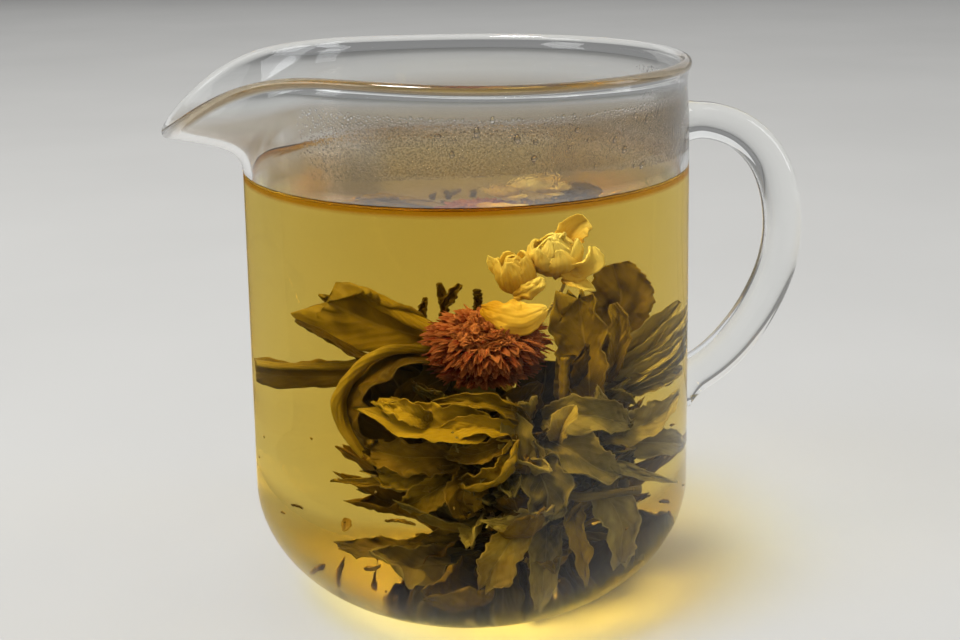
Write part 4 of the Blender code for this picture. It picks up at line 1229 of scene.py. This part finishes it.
def build_jasmine(cream):
    """Two half-open jasmine heads of overlapping cream petals, and the loose petal below them."""
    rng = np.random.default_rng(17)
    middle, axis = LARGE_JASMINE
    large = Heap(lumpy_core(np.array(middle), np.array((2.6, 2.6, 3.6)), 9))
    for k in range(3):
        large.add(petal_round(middle, axis, TURN * k / 3 + 0.5, 2.4, 12.4, 7.0, 200 + k, swirl=1.3, tone=0.75,
                              lean=-0.2, blunt=0.3))
    for k in range(4):
        turn = TURN * k / 4 + rng.uniform(-0.35, 0.35)
        large.add(petal_round(middle, axis, turn, 3.8 + rng.uniform(-0.3, 0.4), 11.6 + rng.uniform(-1, 1),
                              8.4, 210 + k, swirl=0.7, tone=0.7 + rng.uniform(-0.1, 0.2), lean=-0.05,
                              crinkle=0.1))
    for k in range(5):
        turn = TURN * k / 5 + 2.0 + rng.uniform(-0.3, 0.3)
        large.add(petal_round(middle, axis, turn, 4.9 + rng.uniform(-0.5, 0.5), 9.6 + rng.uniform(-1.2, 1.0),
                              8.0, 220 + k, swirl=0.3, tone=0.55 + rng.uniform(-0.15, 0.2),
                              lean=rng.uniform(0.1, 0.6), blunt=0.15, ripple=0.15, crinkle=0.1))
    # painted light: the petals on the large head's right get the palest tones
    for seed, (path, width, facing, settings) in enumerate((
        (((16.5, 0.5, 83), (19.4, -1.9, 82.8), (21.6, -1.9, 84.8), (21.6, -0.9, 87.6)), 6.4,
         ((0.5, -1, 0.2), (0.9, -0.6, 0.3)), dict(cup=0.8, blunt=0.3, rows=34, half=8, thick=0.4, tone=0.9)),
        (((16.8, -2.4, 80.6), (18.9, -3.4, 79.9), (20.9, -3.2, 78.6), (22.8, -2.6, 77.4)), 3.6,
         ((0.1, -0.8, 0.7), (0.1, -0.7, 0.7)),
         dict(fold=0.3, cup=0.4, blunt=0.0, rows=30, half=7, thick=0.4, tone=0.95)),
        (((17, 1.5, 86), (17.8, 1.5, 89.5), (19.6, 1.3, 92.6), (21, 1.2, 93.6)), 6.4,
         ((-0.1, -1, 0.2), (0, -1, 0.1)),
         dict(cup=0.3, widest=0.7, blunt=0.6, rows=34, half=8, thick=0.25, tone=0.35)),
        (((16.2, -1.8, 88), (16.3, -2.4, 90), (17.2, -1.8, 91.4)), 2.4, ((0.3, -1, 0.3), (0.8, -0.5, 0.2)),
         dict(fold=0.6, cup=0.7, blunt=0.2, rows=20, half=6, thick=0.35, tone=1.0)),
    ), start=231):
        large.add(blade(path, width, facing, seed, **settings))
    large.make("jasmine_large_petals", cream, "jasmine_cream", ("jasmine_large",))

    middle, axis = SMALL_JASMINE
    small = Heap()
    # painted shade: the small head, below and left of the large one, gets low, warm tones
    for k in range(4):
        small.add(petal_round(middle, axis, TURN * k / 4 + 0.2, 2.3, 10.0, 5.6, 240 + k, tone=0.15))
    for k in range(5):
        small.add(petal_round(middle, axis, TURN * k / 5 + 0.8, 3.7, 10.2, 6.0, 250 + k, tone=0.2, lean=0.4))
    small.add(blade(((6.4, -4, 82), (4.8, -4.4, 84.5), (3.6, -4.2, 87)), 2.4, ((-0.3, -1, 0.2), (0, -1, 0)),
                    261, fold=0.4, blunt=0.0, rows=24, half=6, tone=0.7))
    small.add(blade(((8.2, -6.5, 77.8), (10.3, -8.0, 79), (12.4, -7.6, 80.4), (13.4, -6.5, 82)), 3.8,
                    ((0.1, -1, 0.3), (0.2, -1, 0.2)), 262, fold=0.1, cup=-0.6, blunt=0.35, rows=28, half=7,
                    tone=0.6))
    small.make("jasmine_small_petals", cream, "jasmine_cream", ("jasmine_small",))

    # painted shade: the loose petal below the heads gets the lowest tone
    leaf("jasmine_loose_petal", cream, "jasmine_cream", ("jasmine_petal",),
         (((2.4, -9.4, 76.0), (6.0, -12.4, 75.0), (10.0, -13.4, 74.4), (14.4, -12.0, 76.2)), 8.2,
          ((-0.1, -1, 0.3), (0.1, -1, 0.35)), 271,
          dict(fold=-0.1, cup=-0.45, crinkle=0.2, blunt=0.15, widest=0.6, stalk=0.2, rows=44, half=10,
               thick=0.4, tone=0.08)))


def build_sediment():
    """Broken bits of leaf that drift low in the tea or lie on the glass floor."""
    rng = np.random.default_rng(31)
    bits = Heap()
    places = [((-25, -20, 26), 6.0), ((-14, -20, 27), 6.5), ((-30, -12, 15), 3.5), ((28, -10, 24.6), 3.0),
              ((38, -8, 24), 3.5), ((40, -6, 20), 3.2), ((-33, -4, 24), 2.5), ((-20, -24, 18), 4.0)]
    for _ in range(46):
        turn, reach = rng.uniform(0, TURN), 33 * math.sqrt(rng.random())
        places.append(((reach * math.cos(turn), reach * math.sin(turn), 3.6 + 8 * rng.random() ** 3),
                       rng.uniform(0.8, 3.0)))
    for _ in range(26):
        turn, reach = rng.uniform(0, TURN), rng.uniform(30, 46)
        places.append(((reach * math.cos(turn), reach * math.sin(turn), rng.uniform(14, 46)),
                       rng.uniform(0.4, 1.2)))
    for k, (place, length) in enumerate(places):
        place = np.array(place, float)
        way = unit(rng.normal(0, 1, 3) * (1, 1, 0.25)) * length * 0.5
        bend = rng.normal(0, 0.05 * length, 3)
        bits.add(blade((place - way, place + bend, place + way), length * rng.uniform(0.3, 0.6),
                       ((0, 0.2, 1), (0.2, 0, 1)), 300 + k, fold=0.3, ripple=0.4, crinkle=0.12, tear=0.3,
                       blunt=0.3, rows=12, half=4, thick=0.25, tone=rng.uniform(0.1, 0.8)))
    bits.make("drifting_bits", leaf_material("leaf_bits", (0.12, 0.07, 0.015), (0.3, 0.19, 0.04),
                                             (0.42, 0.3, 0.1), (0.4, 0.3, 0.1)), "dark_leaf", body="jug")


def build_bloom():
    dark, olive, pale, grey, bark = (leaf_material(name, *colours) for name, *colours in (
        ("leaf_dark", (0.045, 0.027, 0.004), (0.13, 0.08, 0.007), (0.26, 0.175, 0.02), (0.42, 0.32, 0.10)),
        ("leaf_olive", (0.06, 0.04, 0.004), (0.19, 0.13, 0.010), (0.42, 0.30, 0.03), (0.55, 0.42, 0.12)),
        ("leaf_pale", (0.12, 0.085, 0.02), (0.30, 0.22, 0.05), (0.60, 0.50, 0.16), (0.70, 0.60, 0.28)),
        ("leaf_grey", (0.07, 0.06, 0.022), (0.25, 0.21, 0.085), (0.50, 0.43, 0.19), (0.62, 0.55, 0.30)),
        ("twig_bark", (0.04, 0.03, 0.012), (0.10, 0.08, 0.03), (0.20, 0.16, 0.07), (0.3, 0.2, 0.1)),
    ))
    red = petal_material("amaranth_paper", (0.08, 0.005, 0.004), (0.23, 0.024, 0.018), (0.62, 0.26, 0.18))
    cream = petal_material("jasmine_cream", (0.62, 0.37, 0.04), (0.88, 0.68, 0.20), (0.97, 0.90, 0.54))
    cotton = petal_material("cotton", (0.55, 0.48, 0.32), (0.68, 0.60, 0.42), (0.8, 0.74, 0.58), through=0.1)
    build_tiers((dark, olive, grey))
    build_packed_leaves(dark, grey)
    build_long_leaves(dark, olive, pale, grey)
    build_front_leaves(dark, olive, pale, grey)
    build_stalks(dark, bark)
    build_threads(cotton)
    build_amaranth(red)
    build_jasmine(cream)


# ---------------- the stage


LIGHTS = (  # name, place, target, size, power and colour, in metres and watts
    ("key_top", (-0.6, -0.25, 1.8), (0.0, 0.0, 0.06), (0.5, 0.5), 38.0, (1.0, 0.985, 0.95)),
    ("ceiling", (0.1, -0.3, 2.0), (0.0, 0.0, 0.06), (1.8, 1.8), 9.0, (1.0, 1.0, 1.0)),
    ("panel_back", (0.4, 1.7, 0.75), (0.0, 0.0, 0.1), (2.8, 0.9), 4.0, (1.0, 1.0, 1.0)),
    ("window_left", (-2.2, -0.6, 1.8), (0.0, 0.0, 0.06), (1.0, 1.0), 16.0, (1.0, 1.0, 1.0)),
    ("panel_right", (2.2, -0.6, 0.9), (0.0, 0.0, 0.06), (0.6, 1.4), 9.0, (0.96, 0.98, 1.0)),
)
FLOOR_REACH = 4000.0
FLOOR_DROP = 0.05  # the floor is this far below the foot, so the two never share a plane


def build_stage():
    corners = [(x * FLOOR_REACH, y * FLOOR_REACH, -FLOOR_DROP)
               for x, y in ((-1, -1), (1, -1), (1, 1), (-1, 1))]
    floor = mesh_object("floor", corners, [(0, 1, 2, 3)], smooth=False)
    material, g = new_material("pale_floor")
    colour = g.ramp(g.noise(6.0, 3.0), (0.3, (0.41, 0.41, 0.405)), (0.7, (0.43, 0.43, 0.425)))
    shader = g.bsdf("Principled", Base_Color=colour, Roughness=0.9, Specular_IOR_Level=0.1)
    g.add("OutputMaterial", Surface=shader)
    floor.data.materials.append(material)
    build_world()
    for name, place, target, size, power, colour in LIGHTS:
        data = bpy.data.lights.new(name, "AREA")
        data.shape = "RECTANGLE"
        data.size, data.size_y = size
        data.energy = power
        data.color = colour
        lamp = bpy.data.objects.new(name, data)
        bpy.context.scene.collection.objects.link(lamp)
        lamp.location = place
        lamp.rotation_euler = (Vector(target) - Vector(place)).to_track_quat("-Z", "Y").to_euler()


def build_world():
    """A soft studio: pale overhead, darker round the horizon so that the glass gets its dark edges."""
    world = bpy.data.worlds.new("studio")
    world.use_nodes = True
    g = Graph(world.node_tree)
    way = g.add("SeparateXYZ", Vector=g.add("TexCoord").outputs["Generated"])
    shade = g.ramp(way.outputs[2], (0.0, 0.24), (0.25, 0.20), (0.55, 0.30), (1.0, 0.36))
    g.feed(g.nodes["Background"].inputs["Color"], shade)
    bpy.context.scene.world = world


def build_camera():
    data = bpy.data.cameras.new("camera")
    data.sensor_width = 36.0
    data.lens = CAMERA_LENS
    data.clip_start = 0.01
    camera = bpy.data.objects.new("camera", data)
    bpy.context.scene.collection.objects.link(camera)
    tilt = (Matrix.Rotation(CAMERA_TURN, 4, "Z") @ Matrix.Rotation(math.radians(90) - CAMERA_DOWN, 4, "X")
            @ Matrix.Rotation(CAMERA_ROLL, 4, "Z"))
    camera.matrix_world = Matrix.Translation(Vector(CAMERA_PLACE) * MM) @ tilt
    scene = bpy.context.scene
    scene.camera = camera
    scene.view_settings.view_transform = "Standard"
    scene.cycles.max_bounces = LIGHT_BOUNCES
    scene.cycles.transmission_bounces = LIGHT_BOUNCES
    scene.cycles.transparent_max_bounces = LIGHT_BOUNCES


build_camera()
build_stage()
build_glass_body()
build_handle()
build_tea()
build_drops()
build_bloom()
build_sediment()
